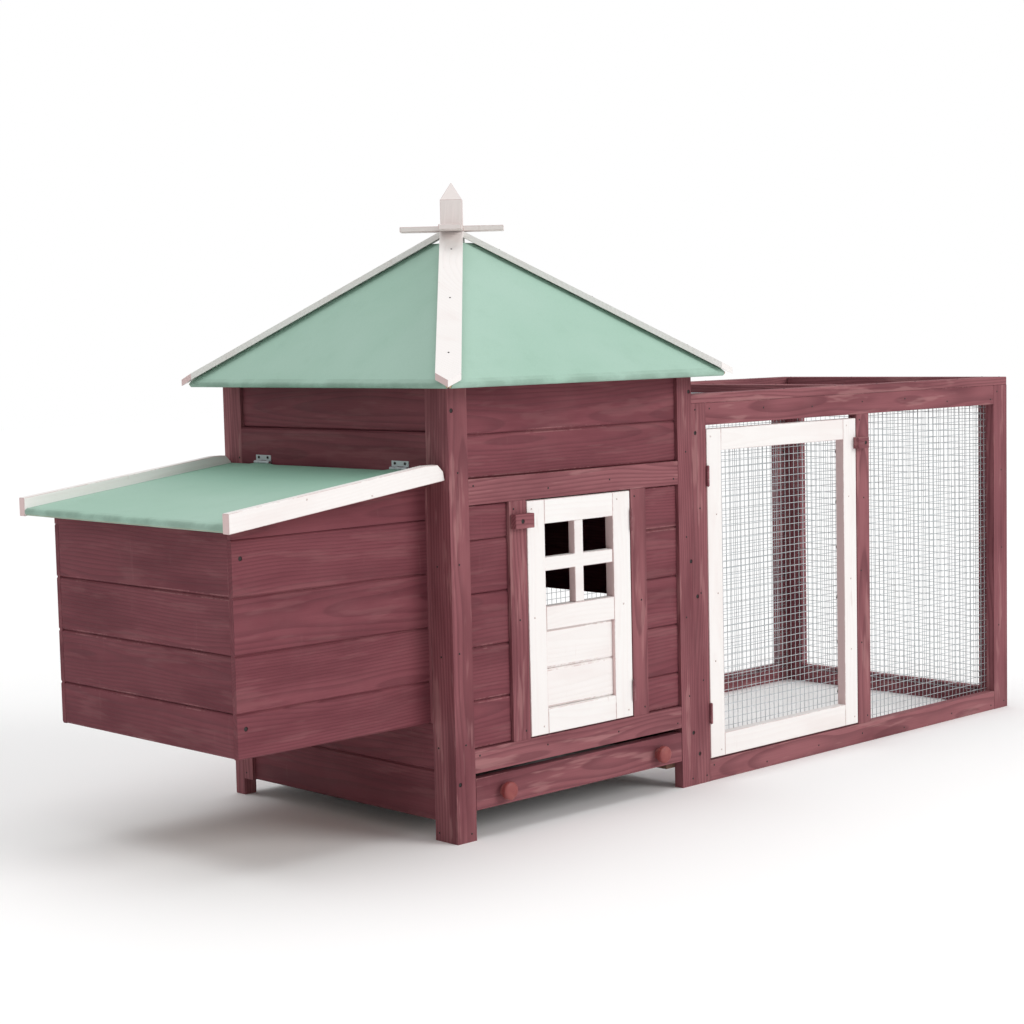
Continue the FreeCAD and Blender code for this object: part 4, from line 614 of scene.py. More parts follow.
@surface_finish("stained_steel")
def stained_steel(tree):
    """Steel hinges that were stained over with the wood, bare where they rub."""
    look = sizes("timber")
    place = tree.place()
    rub = tree.noise(place, 240.0, 3.0, 0.6)
    smear = tree.noise(place, 60.0, 3.0, 0.6)
    stained = tree.coats(
        tree.mix(tree.step(smear, 0.35, 0.7), look.stain, look.stain_pale),
        (tree.step(rub, 0.60, 0.72), 0.6, (0.30, 0.27, 0.26)),
    )
    rough = tree.step(smear, 0.3, 0.7, 0.62, 0.48)
    metal = tree.step(rub, 0.60, 0.72, 0.0, 0.6)
    return skin(stained, rough, tree.bump(smear, 0.0003, 0.4), metal)


@surface_finish("dark_steel")
def dark_steel(tree):
    """Blued screws and nails, with a little rust, near black: partly the steel's own colour
    and partly painted shade of the deep screw holes.
    """
    place = tree.place()
    rust = tree.noise(place, 420.0, 3.0, 0.6)
    fleck = tree.noise(place, 1300.0, 2.0)
    blued = tree.coats(
        # near-black blued steel, partly painted shade of the screw holes
        tree.mix(tree.step(rust, 0.50, 0.68), (0.014, 0.011, 0.011), (0.040, 0.015, 0.012)),
        (tree.step(fleck, 0.60, 0.78), 0.3, (0.12, 0.11, 0.11)),
    )
    rough = tree.step(rust, 0.45, 0.70, 0.5, 0.8)
    metal = tree.step(rust, 0.50, 0.68, 0.2, 0.0)
    return skin(blued, rough, tree.bump(rust, 0.0002, 0.4), metal)


@surface_finish("studio_floor")
def floor_paint(tree):
    """Pale matt floor, a little uneven."""
    cloud = tree.step(tree.noise(tree.place(), 0.8, 3.0), 0.3, 0.7)
    pale = tree.coats(sizes("stage").floor, (cloud, 0.3, (0.95, 0.95, 0.95)))
    return {"Base Color": pale, "Roughness": 0.9}


# ------------------------------------------------------------------ mesh helpers
def read_mesh(mesh):
    """Points and edges of a mesh as arrays."""
    points = np.zeros(len(mesh.vertices) * 3)
    mesh.vertices.foreach_get("co", points)
    edges = np.zeros(len(mesh.edges) * 2, int)
    mesh.edges.foreach_get("vertices", edges)
    return points.reshape(-1, 3), edges.reshape(-1, 2)


def set_attribute(mesh, name, domain, values):
    """Stores an array on the points or faces of a mesh: numbers, or rows of three."""
    values = np.asarray(values, np.float32)
    kind, key = ("FLOAT_VECTOR", "vector") if values.ndim == 2 else ("FLOAT", "value")
    mesh.attributes.new(name, kind, domain).data.foreach_set(key, values.ravel())


def place_piece(name, mesh, material, body, node=None):
    """A finished mesh as a piece that rides on a body and may stand for a node."""
    mesh.materials.clear()
    mesh.materials.append(material)
    piece = bpy.data.objects.new(name, mesh)
    bpy.context.scene.collection.objects.link(piece)
    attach(piece, body)
    if node is not None:
        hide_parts(node)
    return piece


def new_mesh(name, points, faces, smooth):
    mesh = bpy.data.meshes.new(name)
    mesh.from_pydata(np.asarray(points, float).tolist(), [], [tuple(face) for face in faces])
    mesh.polygons.foreach_set("use_smooth", np.full(len(mesh.polygons), smooth))
    mesh.update()
    return mesh


def grid_faces(rows, columns, close_columns=False):
    """Quads of a grid of points numbered row by row; the columns can be closed to a ring."""
    row = np.arange(rows - 1)[:, None]
    column = np.arange(columns if close_columns else columns - 1)[None, :]
    after = (column + 1) % columns
    quads = np.stack(
        [
            row * columns + column, row * columns + after,
            (row + 1) * columns + after, (row + 1) * columns + column,
        ],
        axis=-1,
    )
    return quads.reshape(-1, 4)


def closed_tubes(count, rows, columns):
    """Faces of equal tubes, point after point: quads round each, and a flat face on each end."""
    ring = np.arange(columns)
    start = (np.arange(count) * rows * columns)[:, None]
    sides = grid_faces(rows, columns, close_columns=True)[None] + start[:, :, None]
    ends = np.concatenate([ring[::-1] + start, ring + (rows - 1) * columns + start])
    return sides.reshape(-1, 4).tolist() + ends.tolist()


def circle(sides):
    """Angles of equal steps round a circle."""
    return np.linspace(0, 2 * math.pi, sides, endpoint=False)


def islands(count, edges):
    """Number of the connected piece that each vertex belongs to, by spreading the lowest
    vertex number along the edges until nothing changes."""
    label = np.arange(count)
    while True:
        lowest = np.minimum(label[edges[:, 0]], label[edges[:, 1]])
        spread = label.copy()
        np.minimum.at(spread, edges[:, 0], lowest)
        np.minimum.at(spread, edges[:, 1], lowest)
        spread = spread[spread]
        if np.array_equal(spread, label):
            return np.unique(label, return_inverse=True)[1]
        label = spread


# ------------------------------------------------------------------ timber
# Edges sharper than SHARP are rounded, edges flatter than FLAT and doubled points are merged,
# and an axis of a board within SQUARE of a main axis is set to it.
SHARP = math.radians(28)
FLAT = math.radians(0.3)
SAME_PLACE = 1e-5
SQUARE = 0.995


def grain_of_boards(points, label, rng):
    """Board coordinates of every point: along, across and through its own board.

    The directions are the principal axes of the board's points, longest first, and each board
    gets its own random place in the log."""
    grain = np.zeros_like(points)
    tone = np.zeros(len(points))
    for board in range(label.max() + 1):
        mine = label == board
        centred = points[mine] - (points[mine].min(0) + points[mine].max(0)) / 2
        values, axes = np.linalg.eigh(centred.T @ centred)
        axes = axes[:, np.argsort(values)[::-1]]
        square = np.abs(axes) > SQUARE
        axes = np.where(square.any(0), square.astype(float), axes)
        place = [rng.uniform(0, 20), rng.uniform(-0.05, 0.05), rng.uniform(0.015, 0.06)]
        grain[mine] = centred @ axes + np.array(place)
        tone[mine] = rng.uniform()
    return grain, tone


def eased_timber(node, material, rng, tones):
    """Stands in for a timber node with a copy that has rounded edges, grain and a tone for
    every board, and marked edges."""
    source = frame["nodes"][node]
    shape = bmesh.new()
    shape.from_mesh(source.data)
    bmesh.ops.remove_doubles(shape, verts=shape.verts, dist=SAME_PLACE)
    bmesh.ops.dissolve_limit(shape, angle_limit=FLAT, verts=shape.verts, edges=shape.edges)
    result = bmesh.ops.bevel(
        shape, geom=[e for e in shape.edges if e.is_manifold and e.calc_face_angle(0) > SHARP],
        offset=sizes("timber").edge_round, offset_type="OFFSET", segments=2, profile=0.5,
        affect="EDGES", clamp_overlap=True,
    )
    shape.faces.index_update()
    rounded = np.zeros(len(shape.faces))
    rounded[[face.index for face in result["faces"]]] = 1
    mesh = bpy.data.meshes.new(node + "_timber")
    shape.to_mesh(mesh)
    shape.free()
    points, edges = read_mesh(mesh)
    grain, tone = grain_of_boards(points, islands(len(points), edges), rng)
    set_attribute(mesh, "grain", "POINT", grain)
    set_attribute(mesh, "tone", "POINT", tones[0] + (tones[1] - tones[0]) * tone)
    set_attribute(mesh, "edge", "FACE", rounded)
    mesh.polygons.foreach_set("use_smooth", np.zeros(len(mesh.polygons), bool))
    place_piece(node + "_timber", mesh, material, source["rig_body"], node)


def timber_nodes(names, material, seed, tones=(0.0, 1.0)):
    """Takes over timber nodes; each board draws its tone between the two tones."""
    rng = np.random.default_rng(seed)
    for node in names:
        eased_timber(node, material, rng, tones)


class COOP_OT_stained_timber(bpy.types.Operator):
    """Walls, frames, turn buttons and the tray front, in red-brown stain"""

    bl_idname = "coop.stained_timber"
    bl_label = "Stained timber"

    def execute(self, context):
        wood = stained_wood()
        timber_nodes(STAINED_FRAMES, wood, seed=11, tones=(0.76, 1.0))
        timber_nodes(STAINED_BOARDS, wood, seed=12, tones=(0.34, 0.58))
        return {"FINISHED"}


class COOP_OT_painted_timber(bpy.types.Operator):
    """White trims, finial and doors"""

    bl_idname = "coop.painted_timber"
    bl_label = "Painted timber"

    def execute(self, context):
        wood = painted_wood()
        timber_nodes(PAINTED, wood, seed=23, tones=(0.75, 1.0))
        timber_nodes(THINLY_PAINTED, wood, seed=24, tones=(0.0, 0.4))
        return {"FINISHED"}


class COOP_OT_bare_timber(bpy.types.Operator):
    """Roof boards, nest floor, divider and tray runners, unpainted"""

    bl_idname = "coop.bare_timber"
    bl_label = "Bare timber"

    def execute(self, context):
        timber_nodes(BARE, bare_wood(), seed=37)
        return {"FINISHED"}


def turned_knob(radius, reach):
    """A knob turned about the -Y axis: a waisted neck that swells into a round, slightly domed
    head.  The radius along the axis is a smooth blend of neck and head, as shares of the full
    radius, times a crown that draws in over the last fifth."""
    along = np.concatenate(([0.0], np.linspace(0, 1, 15), [1.0]))
    neck = 0.56 + 0.10 * np.cos(along * 4 * math.pi) * (along < 0.38)
    swell = np.clip((along - 0.34) / 0.16, 0, 1)
    head = swell * swell * (3 - 2 * swell)
    face = np.clip((along - 0.80) / 0.20, 0, 1)
    crown = np.sqrt(np.maximum(1 - face**2.6, 0)) * 0.30 + 0.70
    profile = (neck + (1 - neck) * head) * crown * radius
    profile[[0, -1]] = 0
    turn = circle(40)[None, :]
    x = profile[:, None] * np.cos(turn)
    z = profile[:, None] * np.sin(turn)
    y = -along[:, None] * reach + 0 * turn
    points = np.stack([x, y, z], axis=-1).reshape(-1, 3)
    return points, grid_faces(*x.shape, close_columns=True)


class COOP_OT_knobs(bpy.types.Operator):
    """Two turned knobs on the front of the tray"""

    bl_idname = "coop.knobs"
    bl_label = "Tray knobs"

    def execute(self, context):
        low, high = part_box("tray_knobs")
        radius = (high.z - low.z) / 2
        knob, quads = turned_knob(radius, high.y - low.y)
        left = knob + (low.x + radius, high.y, low.z + radius)
        right = knob + (high.x - radius, high.y, low.z + radius)
        grain = knob[:, [1, 0, 2]] + (0.0, 0.0, 0.003)
        mesh = new_mesh(
            "turned_knobs", np.concatenate([left, right]),
            np.concatenate([quads, quads + len(knob)]), True,
        )
        set_attribute(mesh, "grain", "POINT", np.concatenate([grain, grain + (2.0, 0.004, 0.0)]))
        place_piece("turned_knobs", mesh, knob_wood(), "tray", "tray_knobs")
        return {"FINISHED"}


# ------------------------------------------------------------------ felt
FELT_LAYERS = 2
PANEL_COLUMNS = 65
LID_COLUMNS = 90
FOLD = math.radians(40)
# Metres from the eave that the waves leave flat, on a roof panel and on the lid.
ROOF_EAVE_FLAT = 0.012
LID_EAVE_FLAT = 0.02
# The waves die out over this share of half a panel's width, towards its hips.
HIP_FADE = 1 / 8
# How much a cut-off corner leans in over each metre up the slope.
CLIP_LEAN = 0.1
# The lid's slope is measured to the hinge line, this far past its felt.
HINGE_GAP = 0.005
# Room round a hinge leaf under the felt, and how softly the felt comes down beside it.
LEAF_ROOM = 0.004
LEAF_REACH = 0.034
LEAF_SOFT = (0.012, 0.010)


def felt_profile(half, rise, top_half, thick, board, wrap):
    """Middle line of a sheet of felt over a sloping board, as (depth, height), its normals, and
    1 where it goes round the eave.

    It starts under the board, goes out to the eave, round it in a half circle, and up the
    slope.  Depth is measured inward from the eave and height from the eave's upper edge."""
    slope = rise / (half - top_half)
    lean = math.hypot(1, slope)
    along = np.array([1, slope]) / lean
    out = np.array([-slope, 1]) / lean
    total = board + FELT_LAYERS * thick
    back = np.linspace(wrap, total / 2, 5)[:, None]
    turn = np.radians(np.linspace(-90, 90, 13)[1:-1])[:, None]
    up = np.linspace(total / 2, (half - top_half) * lean, 46)[:, None]
    under = along * back - out * (total - thick / 2)
    centre = along * total / 2 - out * total / 2
    bend = centre + (total - thick) / 2 * (-along * np.cos(turn) + out * np.sin(turn))
    over = along * up - out * thick / 2
    points = np.concatenate([under, bend, over])
    heading = np.gradient(points, axis=0)
    normal = np.stack([-heading[:, 1], heading[:, 0]], axis=1)
    normal /= np.linalg.norm(normal, axis=1)[:, None]
    edge = np.zeros(len(points))
    edge[len(under) - 1:len(under) + len(bend) + 1] = 1
    return points, normal, edge


def sheet_solid(middle, normal, edge, thick):
    """Closes a grid of middle points into a sheet: outer and inner grids joined round the rim.
    The last array marks the faces of the eave and the rim."""
    rows, columns = middle.shape[:2]
    outer = (middle + normal * thick / 2).reshape(-1, 3)
    inner = (middle - normal * thick / 2).reshape(-1, 3)
    quads = grid_faces(rows, columns)
    count = rows * columns
    index = np.arange(count).reshape(rows, columns)
    rim = np.concatenate([index[0, :-1], index[:-1, -1], index[-1, :0:-1], index[:0:-1, 0]])
    after = np.roll(rim, -1)
    walls = np.stack([rim, rim + count, after + count, after], axis=1)
    marks = np.repeat((edge[:-1] + edge[1:]) / 2, columns - 1)
    return (
        np.concatenate([outer, inner]),
        np.concatenate([quads, quads[:, ::-1] + count, walls]),
        np.concatenate([marks, marks, np.ones(len(walls))]),
    )


def ripple(u, v, height, phase):
    """Low waves in a sheet: three crossing sines, never below zero."""
    wave = (
        np.sin(u * 9.1 + v * 3.7 + phase)
        + 0.7 * np.sin(u * 21.3 - v * 13.9 + 2.1 * phase)
        + 0.4 * np.sin(v * 31.7 + u * 5.3 + 0.7 * phase)
    )
    return (wave / 4.2 + 0.5) * height


def smooth_box(value, low, high, soft):
    """1 between low and high, falling smoothly to 0 over the soft distance outside."""
    rise = np.clip((value - low) / soft + 1, 0, 1)
    fall = np.clip((high - value) / soft + 1, 0, 1)
    edge = np.minimum(rise, fall)
    return edge * edge * (3 - 2 * edge)


def felt_sheets(name, sheets, body, node):
    """One piece of several sheets, smooth but for the folds sharper than FOLD."""
    starts = np.cumsum([0] + [len(points) for points, _, _ in sheets])
    faces = [quads + start for (_, quads, _), start in zip(sheets, starts)]
    points = np.concatenate([sheet[0] for sheet in sheets])
    mesh = new_mesh(name, points, np.concatenate(faces), True)
    set_attribute(mesh, "edge", "FACE", np.concatenate([marks for _, _, marks in sheets]))
    shape = bmesh.new()
    shape.from_mesh(mesh)
    for edge in shape.edges:
        edge.smooth = not edge.is_manifold or edge.calc_face_angle(0) < FOLD
    shape.to_mesh(mesh)
    shape.free()
    place_piece(name, mesh, mineral_felt(), body, node)


def roof_panel(felt, half_along, half_across, phase):
    """Grid and normals of a roof panel as (along the eave, out from the middle, up).

    Each row is as wide as the hips leave it, with the corners cut off, and waves lift it off
    the boards, but not at the eave or along the hips."""
    line, normal, edge = felt_profile(
        half_across, felt.roof_rise, felt.top_half, felt.thickness, felt.roof_board, felt.wrap
    )
    depth, height = line[:, 0:1], line[:, 1:2]
    inward = np.maximum(depth, 0)
    narrowing = (half_along - felt.top_half) / (half_across - felt.top_half)
    hip = half_along - inward * narrowing - felt.hip_gap
    clip = half_along - felt.corner_clip - inward * CLIP_LEAN
    u = np.linspace(-1, 1, PANEL_COLUMNS)[None, :]
    side = u * np.minimum(hip, np.maximum(clip, felt.top_half))
    lift = ripple(side, depth, felt.ripple, phase)
    lift = lift * np.clip((1 - np.abs(u)) / HIP_FADE, 0, 1) * (depth > ROOF_EAVE_FLAT)
    out = half_across - (depth + normal[:, 0:1] * lift)
    grid = np.stack([side, out, height + normal[:, 1:2] * lift], axis=-1)
    direction = np.stack([0 * side, -normal[:, 0:1] + 0 * u, normal[:, 1:2] + 0 * u], axis=-1)
    return grid, direction, edge


class COOP_OT_roof_felt(bpy.types.Operator):
    """Green felt on the four roof panels, turned under along the eaves"""

    bl_idname = "coop.roof_felt"
    bl_label = "Roof felt"

    def execute(self, context):
        felt = sizes("felt")
        low, high = np.array(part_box("roof_felt"))
        half = (high - low) / 2
        centre = (*(low + half)[:2], high[2] - felt.roof_rise)
        sheets = []
        for index in range(4):
            along = index % 2
            sign = -1 if index < 2 else 1
            grid, direction, edge = roof_panel(felt, half[along], half[1 - along], index + 0.5)
            order = [0, 1, 2] if along == 0 else [1, 0, 2]
            grid = (grid * (1, sign, 1))[..., order] + centre
            direction = (direction * (1, sign, 1))[..., order]
            if (sign < 0) != (along == 0):
                grid, direction = grid[:, ::-1], direction[:, ::-1]
            sheets.append(sheet_solid(grid, direction, edge, felt.thickness))
        felt_sheets("roof_felt_sheets", sheets, "coop", "roof_felt")
        return {"FINISHED"}


class COOP_OT_lid_felt(bpy.types.Operator):
    """Green felt on the nest lid, wrapped round its outer edge, raised over the hinge leaves"""

    bl_idname = "coop.lid_felt"
    bl_label = "Lid felt"

    def execute(self, context):
        felt = sizes("felt")
        low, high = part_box("lid_felt")
        span = high.x - low.x
        slope = felt.lid_rise / (span + HINGE_GAP)
        line, normal, edge = felt_profile(
            span, slope * span, 0.0, felt.thickness, felt.lid_board, felt.wrap + felt.thickness
        )
        total = felt.lid_board + FELT_LAYERS * felt.thickness
        top = low.z + total * math.hypot(1, slope)
        y = np.linspace(low.y, high.y, LID_COLUMNS)[None, :]
        x = line[:, 0:1] + 0 * y
        upper = x > LID_EAVE_FLAT
        lift = ripple(x * 1.4, y, felt.ripple, 4.2) * upper
        hinge_low, hinge_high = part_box("lid_hinge_leaves")
        near = smooth_box(x, span - LEAF_REACH, span + LEAF_REACH, LEAF_SOFT[0])
        for start in (hinge_low.y, hinge_high.y - felt.leaf_width):
            end = start + felt.leaf_width
            beside = smooth_box(y, start - LEAF_ROOM, end + LEAF_ROOM, LEAF_SOFT[1])
            lift = lift + felt.leaf_lift * near * beside * upper
        nx, nz = normal[:, 0:1] + 0 * y, normal[:, 1:2] + 0 * y
        grid = np.stack([low.x + x + nx * lift, y + 0 * x, top + line[:, 1:2] + nz * lift], axis=-1)
        direction = np.stack([nx, 0 * x, nz], axis=-1)
        sheet = sheet_solid(grid[:, ::-1], direction, edge, felt.thickness)
        felt_sheets("lid_felt_sheet", [sheet], "nest_lid", "lid_felt")
        return {"FINISHED"}


# ------------------------------------------------------------------ welded mesh
WIRE_SIDES = 6
WIRE_SECTIONS = 7


def wires(starts, ends, side, wire, rng, wobble):
    """Round wires between pairs of points: a six-sided ring carried along a straight line that
    wanders a little to one side."""
    count = len(starts)
    t = np.linspace(0, 1, WIRE_SECTIONS)[None, :, None]
    line = starts[:, None, :] * (1 - t) + ends[:, None, :] * t
    swing = rng.normal(0, wobble, (count, WIRE_SECTIONS, 1)) * np.sin(math.pi * t)
    heading = (ends - starts) / np.linalg.norm(ends - starts, axis=1)[:, None]
    other = np.cross(heading, side)
    other /= np.linalg.norm(other, axis=1)[:, None]
    side = np.cross(other, heading)
    turn = circle(WIRE_SIDES)[:, None]
    line = line + swing * side[:, None, :]
    ring = np.cos(turn) * side[:, None, :] + np.sin(turn) * other[:, None, :]
    points = line[:, :, None, :] + ring[:, None, :, :] * wire / 2
    return points.reshape(-1, 3), closed_tubes(count, WIRE_SECTIONS, WIRE_SIDES)


def sheet_box(node):
    """Low and high corner of a flat node, its thin axis and the other two."""
    low, high = (np.array(corner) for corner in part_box(node))
    thin = int(np.argmin(high - low))
    return low, high, thin, [axis for axis in range(3) if axis != thin]


def welded_mesh(node, body, seed):
    """Two layers of crossed wires that fill the box of a sheet node."""
    look = sizes("mesh")
    low, high, thin, flat = sheet_box(node)
    starts, ends, sides = [], [], []
    for layer, (run, step) in enumerate((flat, flat[::-1])):
        gaps = int((high - low)[step] // look.pitch)
        margin = ((high - low)[step] - gaps * look.pitch) / 2
        start = np.zeros((gaps + 1, 3))
        start[:, run] = low[run]
        start[:, step] = low[step] + margin + np.arange(gaps + 1) * look.pitch
        start[:, thin] = low[thin] + look.wire * (0.5 + layer)
        end = start.copy()
        end[:, run] = high[run]
        starts.append(start)
        ends.append(end)
        sides.append(np.tile(np.eye(3)[step], (gaps + 1, 1)))
    starts, ends, sides = (np.concatenate(rows) for rows in (starts, ends, sides))
    rng = np.random.default_rng(seed)
    name = node + "_wires"
    mesh = new_mesh(name, *wires(starts, ends, sides, look.wire, rng, look.wander), True)
    place_piece(name, mesh, mesh_zinc(), body, node)


class COOP_OT_welded_mesh(bpy.types.Operator):
    """Welded wire mesh of the run and of its door"""

    bl_idname = "coop.welded_mesh"
    bl_label = "Welded mesh"

    def execute(self, context):
        for seed, node in enumerate(MESH_PANELS):
            welded_mesh(node, "coop", 50 + seed)
        welded_mesh("run_door_mesh", "run_door", 60)
        return {"FINISHED"}


# ------------------------------------------------------------------ nails and staples
HEAD_SIDES = 10
# Rays start this far from the middle of the coop, outside it.
FAR = 3.0
# How far a hand-driven nail strays: along at an end, across in the middle, along in the middle.
STRAY_END, STRAY_ACROSS, STRAY_ALONG = 0.0015, 0.005, 0.006
# The two end nails stand this share of the width to either side of the middle line.
END_NAIL_SIDE = 0.24
HIP_NAIL_SPOTS = (0.17, 0.50, 0.84)
# Staple wire is thicker than mesh wire, and each staple slants by a share of its crown.
STAPLE_WIRE = 1.2
STAPLE_SLANT = 1 / 5
# A direction that no staple runs along.
OFF_AXIS = np.array([0.36, 0.48, 0.80])


def nail_heads(centres, normals, diameter):
    """Low domes: rings of points whose height falls as their radius grows, on a short skirt
    that goes into the wood."""
    centres = np.asarray(centres, float)
    normals = np.asarray(normals, float)
    helper = np.where(np.abs(normals[:, 2:3]) > 0.7, [[1.0, 0, 0]], [[0, 0, 1.0]])
    first = np.cross(helper, normals)
    first /= np.linalg.norm(first, axis=1)[:, None]
    second = np.cross(normals, first)
    turn = circle(HEAD_SIDES)[None, None, :, None]
    radii = np.array([1.0, 1.0, 0.72, 0.30])[None, :, None, None]
    heights = np.array([-0.25, 0.02, 0.14, 0.20])[None, :, None, None]
    first, second, centres, normals = (
        rows[:, None, None, :] for rows in (first, second, centres, normals)
    )
    around = np.cos(turn) * first + np.sin(turn) * second
    points = centres + around * radii * diameter / 2 + normals * heights * diameter
    return points.reshape(-1, 3), closed_tubes(len(points), points.shape[1], HEAD_SIDES)


def piece_boxes(node):
    """Low and high corner of every separate timber of a node."""
    points, edges = read_mesh(frame["nodes"][node].data)
    same = np.unique(np.round(points, 5), axis=0, return_inverse=True)[1].ravel()
    label = islands(same.max() + 1, same[edges])[same]
    pieces = [points[label == piece] for piece in range(label.max() + 1)]
    return [(piece.min(0), piece.max(0)) for piece in pieces]


def surface_of(node):
    mesh = frame["nodes"][node].data
    corners = [vertex.co for vertex in mesh.vertices]
    return BVHTree.FromPolygons(corners, [polygon.vertices for polygon in mesh.polygons])


def spots_along(low, high, axis, look, rng):
    """Places of nails on one face of a timber: one near each end, and a wandering line."""
    flat = [other for other in range(3) if other != axis]
    run, across = sorted(flat, key=lambda other: low[other] - high[other])
    count = max(int((high[run] - low[run]) / look.pitch), 1)
    inner = np.linspace(low[run] + look.inset, high[run] - look.inset, count + 1)[1:-1]
    inner = inner + rng.normal(0, STRAY_ALONG, len(inner))
    offset = (high[across] - low[across]) * END_NAIL_SIDE
    middle = (high[across] + low[across]) / 2
    ends = ((low[run] + look.inset, offset), (high[run] - look.inset, -offset))
    spots = [(place + rng.normal(0, STRAY_END), middle + side) for place, side in ends]
    spots += [(place, middle + rng.normal(0, STRAY_ACROSS)) for place in inner]
    points = np.zeros((len(spots), 3))
    points[:, [run, across]] = spots
    return points


def nails_on(node, axis, look, rng):
    """Where rays from outside meet the outer face of every timber of a node, and the normals
    there."""
    surface = surface_of(node)
    found = []
    for low, high in piece_boxes(node):
        outward = 1.0 if axis == 2 or low[axis] + high[axis] > 0 else -1.0
        towards = Vector(-outward * np.eye(3)[axis])
        for spot in spots_along(low, high, axis, look, rng):
            spot[axis] = outward * FAR
            place, normal, _, _ = surface.ray_cast(Vector(spot), towards)
            if place is not None and -normal.dot(towards) > 0.9:
                found.append((place, normal))
    return found


def hip_nails():
    """Nails down the middle of each hip trim, found from above."""
    surface = surface_of("hip_trims")
    low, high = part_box("hip_trims")
    middle = (low + high) / 2
    found = []
    for x in (low.x, high.x):
        for y in (low.y, high.y):
            for part in HIP_NAIL_SPOTS:
                spot = middle.lerp(Vector((x, y, 0)), part)
                spot.z = FAR
                place, normal, _, _ = surface.ray_cast(spot, Vector((0, 0, -1)))
                if place is not None:
                    found.append((place, normal))
    return found


class COOP_OT_nails(bpy.types.Operator):
    """Nail heads in the frames, trims and doors"""

    bl_idname = "coop.nails"
    bl_label = "Nails"

    def execute(self, context):
        look = sizes("nails")
        rng = np.random.default_rng(71)
        for body, nodes in NAILED.items():
            found = hip_nails() if body == "coop" else []
            for node, axis in nodes:
                found += nails_on(node, axis, look, rng)
            name = "nails_" + body
            mesh = new_mesh(name, *nail_heads(*zip(*found), look.head), True)
            steel = dark_steel() if body == "coop" else filled_nail()
            place_piece(name, mesh, steel, body)
        return {"FINISHED"}


def staple_lines(node, look, wire):
    """Starts and ends of the crowns and legs of the staples round the edge of a mesh panel, on
    the side that faces the inside of the run."""
    low, high, thin, flat = sheet_box(node)
    inside = np.array(sum(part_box("run_rails"), Vector())) / 2
    inward = math.copysign(1.0, inside[thin] - (low[thin] + high[thin]) / 2)
    level = (high if inward > 0 else low)[thin] + inward * wire / 2
    leg = -inward * look.staple_leg * np.eye(3)[thin]
    starts, ends = [], []
    for run, across in (flat, flat[::-1]):
        span = (high - low)[run]
        count = int((span - 2 * look.staple_crown) / look.staple_pitch)
        margin = (span - count * look.staple_pitch) / 2
        for edge in (low[across] + look.staple_inset, high[across] - look.staple_inset):
            for step in range(count + 1):
                centre = np.zeros(3)
                centre[[run, across, thin]] = (
                    low[run] + margin + step * look.staple_pitch, edge, level
                )
                half = np.zeros(3)
                half[run] = look.staple_crown / 2
                half[across] = look.staple_crown * STAPLE_SLANT * (-1) ** step
                starts += [centre - half, centre - half, centre + half]
                ends += [centre + half, centre - half + leg, centre + half + leg]
    return np.array(starts), np.array(ends)


class COOP_OT_staples(bpy.types.Operator):
    """Staples that hold the mesh to the inside of the run frames"""

    bl_idname = "coop.staples"
    bl_label = "Staples"

    def execute(self, context):
        wire = sizes("mesh").wire * STAPLE_WIRE
        rng = np.random.default_rng(83)
        for body, nodes in (("coop", MESH_PANELS), ("run_door", ("run_door_mesh",))):
            lines = [staple_lines(node, sizes("nails"), wire) for node in nodes]
            starts, ends = (np.concatenate(rows) for rows in zip(*lines))
            name = "staples_" + body
            mesh = new_mesh(name, *wires(starts, ends, OFF_AXIS, wire, rng, 0.0), True)
            place_piece(name, mesh, dark_steel(), body)
        return {"FINISHED"}


# ------------------------------------------------------------------ hardware
class COOP_OT_hardware(bpy.types.Operator):
    """Stain over the door hinges, zinc on the lid hinges, grey steel on the pan, and dark steel
    screws
    """

    bl_idname = "coop.hardware"
    bl_label = "Hinges, pan and screws"

    def execute(self, context):
        for nodes, make in (
            (STAINED_HINGES, stained_steel), (ZINC_HINGES, hinge_zinc),
            (("tray_pan",), pan_steel), (SCREWS, dark_steel),
        ):
            for node in nodes:
                mesh = frame["nodes"][node].data
                mesh.materials.clear()
                mesh.materials.append(make())
        return {"FINISHED"}


# ------------------------------------------------------------------ stage
FLOOR_REACH = 14.0


def soft_sun(name, place, strength, spread, tint):
    """A far light that shines from a place towards the middle of the coop, evenly over the
    floor.  The spread sets how soft its shadows are."""
    data = bpy.data.lights.new(name, "SUN")
    data.energy = strength
    data.angle = spread
    data.color = tint
    light = bpy.data.objects.new(name, data)
    bpy.context.scene.collection.objects.link(light)
    light.location = place
    light.rotation_euler = (-Vector(place)).to_track_quat("-Z", "Y").to_euler()


def studio_world(stage):
    """A bright backdrop for the camera, and a softer glow of the same colour for the light."""
    world = bpy.data.worlds.new("studio")
    world.use_nodes = True
    nodes = world.node_tree.nodes
    tree = Tree(world.node_tree)
    tree.feed(nodes["Background"].inputs["Color"], stage.backdrop)
    tree.feed(nodes["Background"].inputs["Strength"], stage.glow)
    seen = tree.add("ShaderNodeBackground", {"Color": stage.backdrop, "Strength": 1.0})
    inputs = {
        0: tree.add("ShaderNodeLightPath").outputs["Is Camera Ray"],
        1: nodes["Background"].outputs[0], 2: seen.outputs[0],
    }
    mixed = tree.add("ShaderNodeMixShader", inputs).outputs[0]
    tree.feed(nodes["World Output"].inputs["Surface"], mixed)
    return world


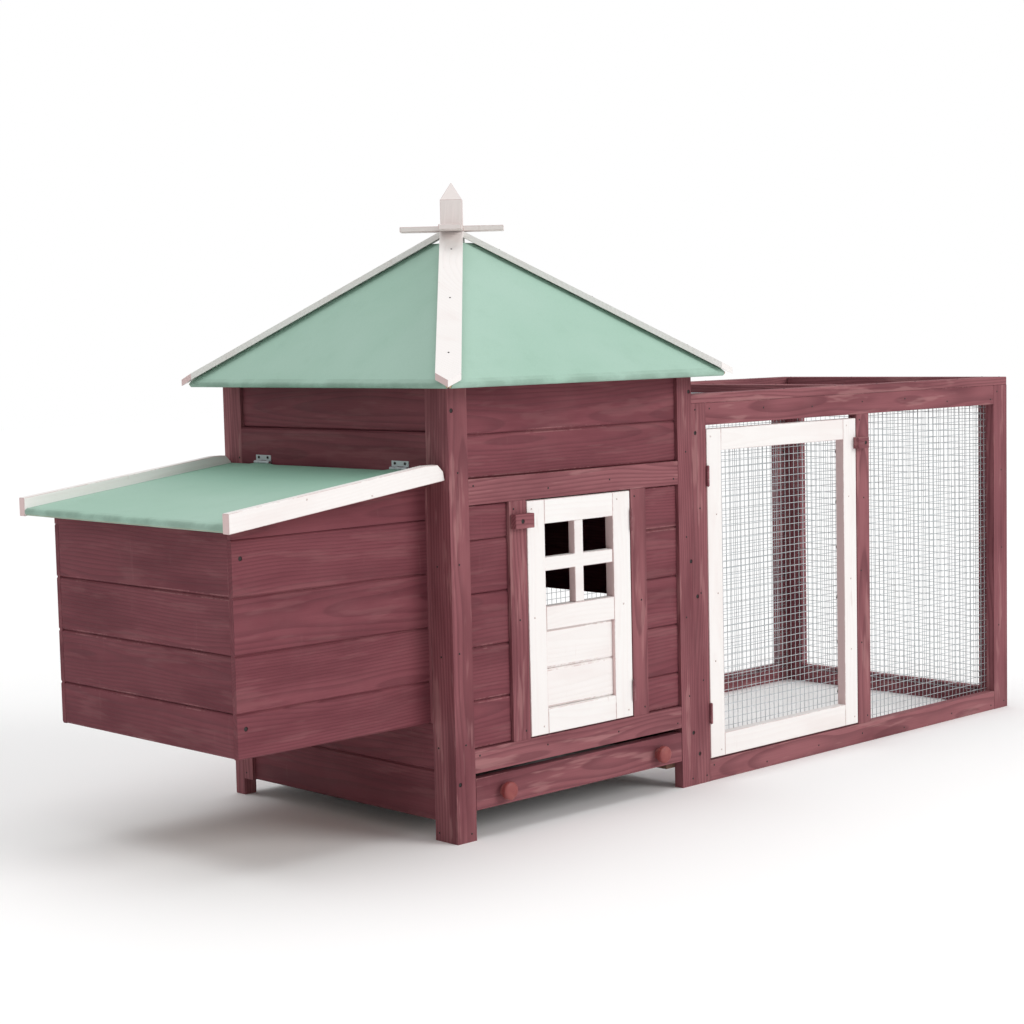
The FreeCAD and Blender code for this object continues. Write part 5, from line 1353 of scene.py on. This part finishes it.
class COOP_OT_stage(bpy.types.Operator):
    """Floor, soft light and the camera"""

    bl_idname = "coop.stage"
    bl_label = "Stage"

    def execute(self, context):
        stage = sizes("stage")
        scene = bpy.context.scene
        across = np.linspace(-FLOOR_REACH, FLOOR_REACH, 3)
        x, y = np.meshgrid(across, across, indexing="ij")
        points = np.stack([x, y, 0 * x], axis=-1).reshape(-1, 3)
        mesh = new_mesh("floor", points, grid_faces(3, 3)[:, ::-1], False)
        mesh.materials.append(floor_paint())
        floor = bpy.data.objects.new("floor", mesh)
        scene.collection.objects.link(floor)

        scene.world = studio_world(stage)
        soft_sun("key", (2.4, -5.0, 2.6), stage.key, stage.key_spread, (1.0, 0.985, 0.97))
        soft_sun("top", (0.0, 0.4, 5.0), stage.top, stage.top_spread, (1.0, 1.0, 1.0))
        scene.view_settings.view_transform = "Standard"
        scene.view_settings.look = "None"

        camera_data = bpy.data.cameras.new("camera")
        camera_data.sensor_width = 36.0
        camera_data.lens = stage.lens
        camera_data.clip_start = 0.05
        camera = bpy.data.objects.new("camera", camera_data)
        scene.collection.objects.link(camera)
        camera.location = stage.eye
        ahead = Euler((math.pi / 2 + stage.pitch, 0, stage.heading), "XYZ").to_matrix()
        spin = Euler((0, 0, stage.roll), "XYZ").to_matrix()
        camera.rotation_euler = (ahead @ spin).to_euler()
        scene.camera = camera
        return {"FINISHED"}


# ------------------------------------------------------------------ panel and registration
OPERATORS = (
    COOP_OT_stage, COOP_OT_stained_timber, COOP_OT_painted_timber, COOP_OT_bare_timber,
    COOP_OT_knobs, COOP_OT_roof_felt, COOP_OT_lid_felt, COOP_OT_welded_mesh, COOP_OT_nails,
    COOP_OT_staples, COOP_OT_hardware,
)


class COOP_PT_panel(bpy.types.Panel):
    """Lists the steps and the sizes of the coop"""

    bl_idname = "COOP_PT_panel"
    bl_label = "Chicken coop"
    bl_space_type = "VIEW_3D"
    bl_region_type = "UI"
    bl_category = "Coop"

    def draw(self, context):
        for operator in OPERATORS:
            self.layout.operator(operator.bl_idname)
        for name, group in GROUPS.items():
            box = self.layout.box()
            for key in group.__annotations__:
                box.prop(sizes(name), key)


CLASSES = (*GROUPS.values(), *OPERATORS, COOP_PT_panel)


def register():
    for cls in CLASSES:
        bpy.utils.register_class(cls)
    for name, group in GROUPS.items():
        setattr(bpy.types.Scene, "coop_" + name, bpy.props.PointerProperty(type=group))


def unregister():
    for name in GROUPS:
        delattr(bpy.types.Scene, "coop_" + name)
    for cls in reversed(CLASSES):
        bpy.utils.unregister_class(cls)


def main():
    register()
    for operator in OPERATORS:
        category, action = operator.bl_idname.split(".")
        getattr(getattr(bpy.ops, category), action)()


if __name__ == "__main__":
    main()
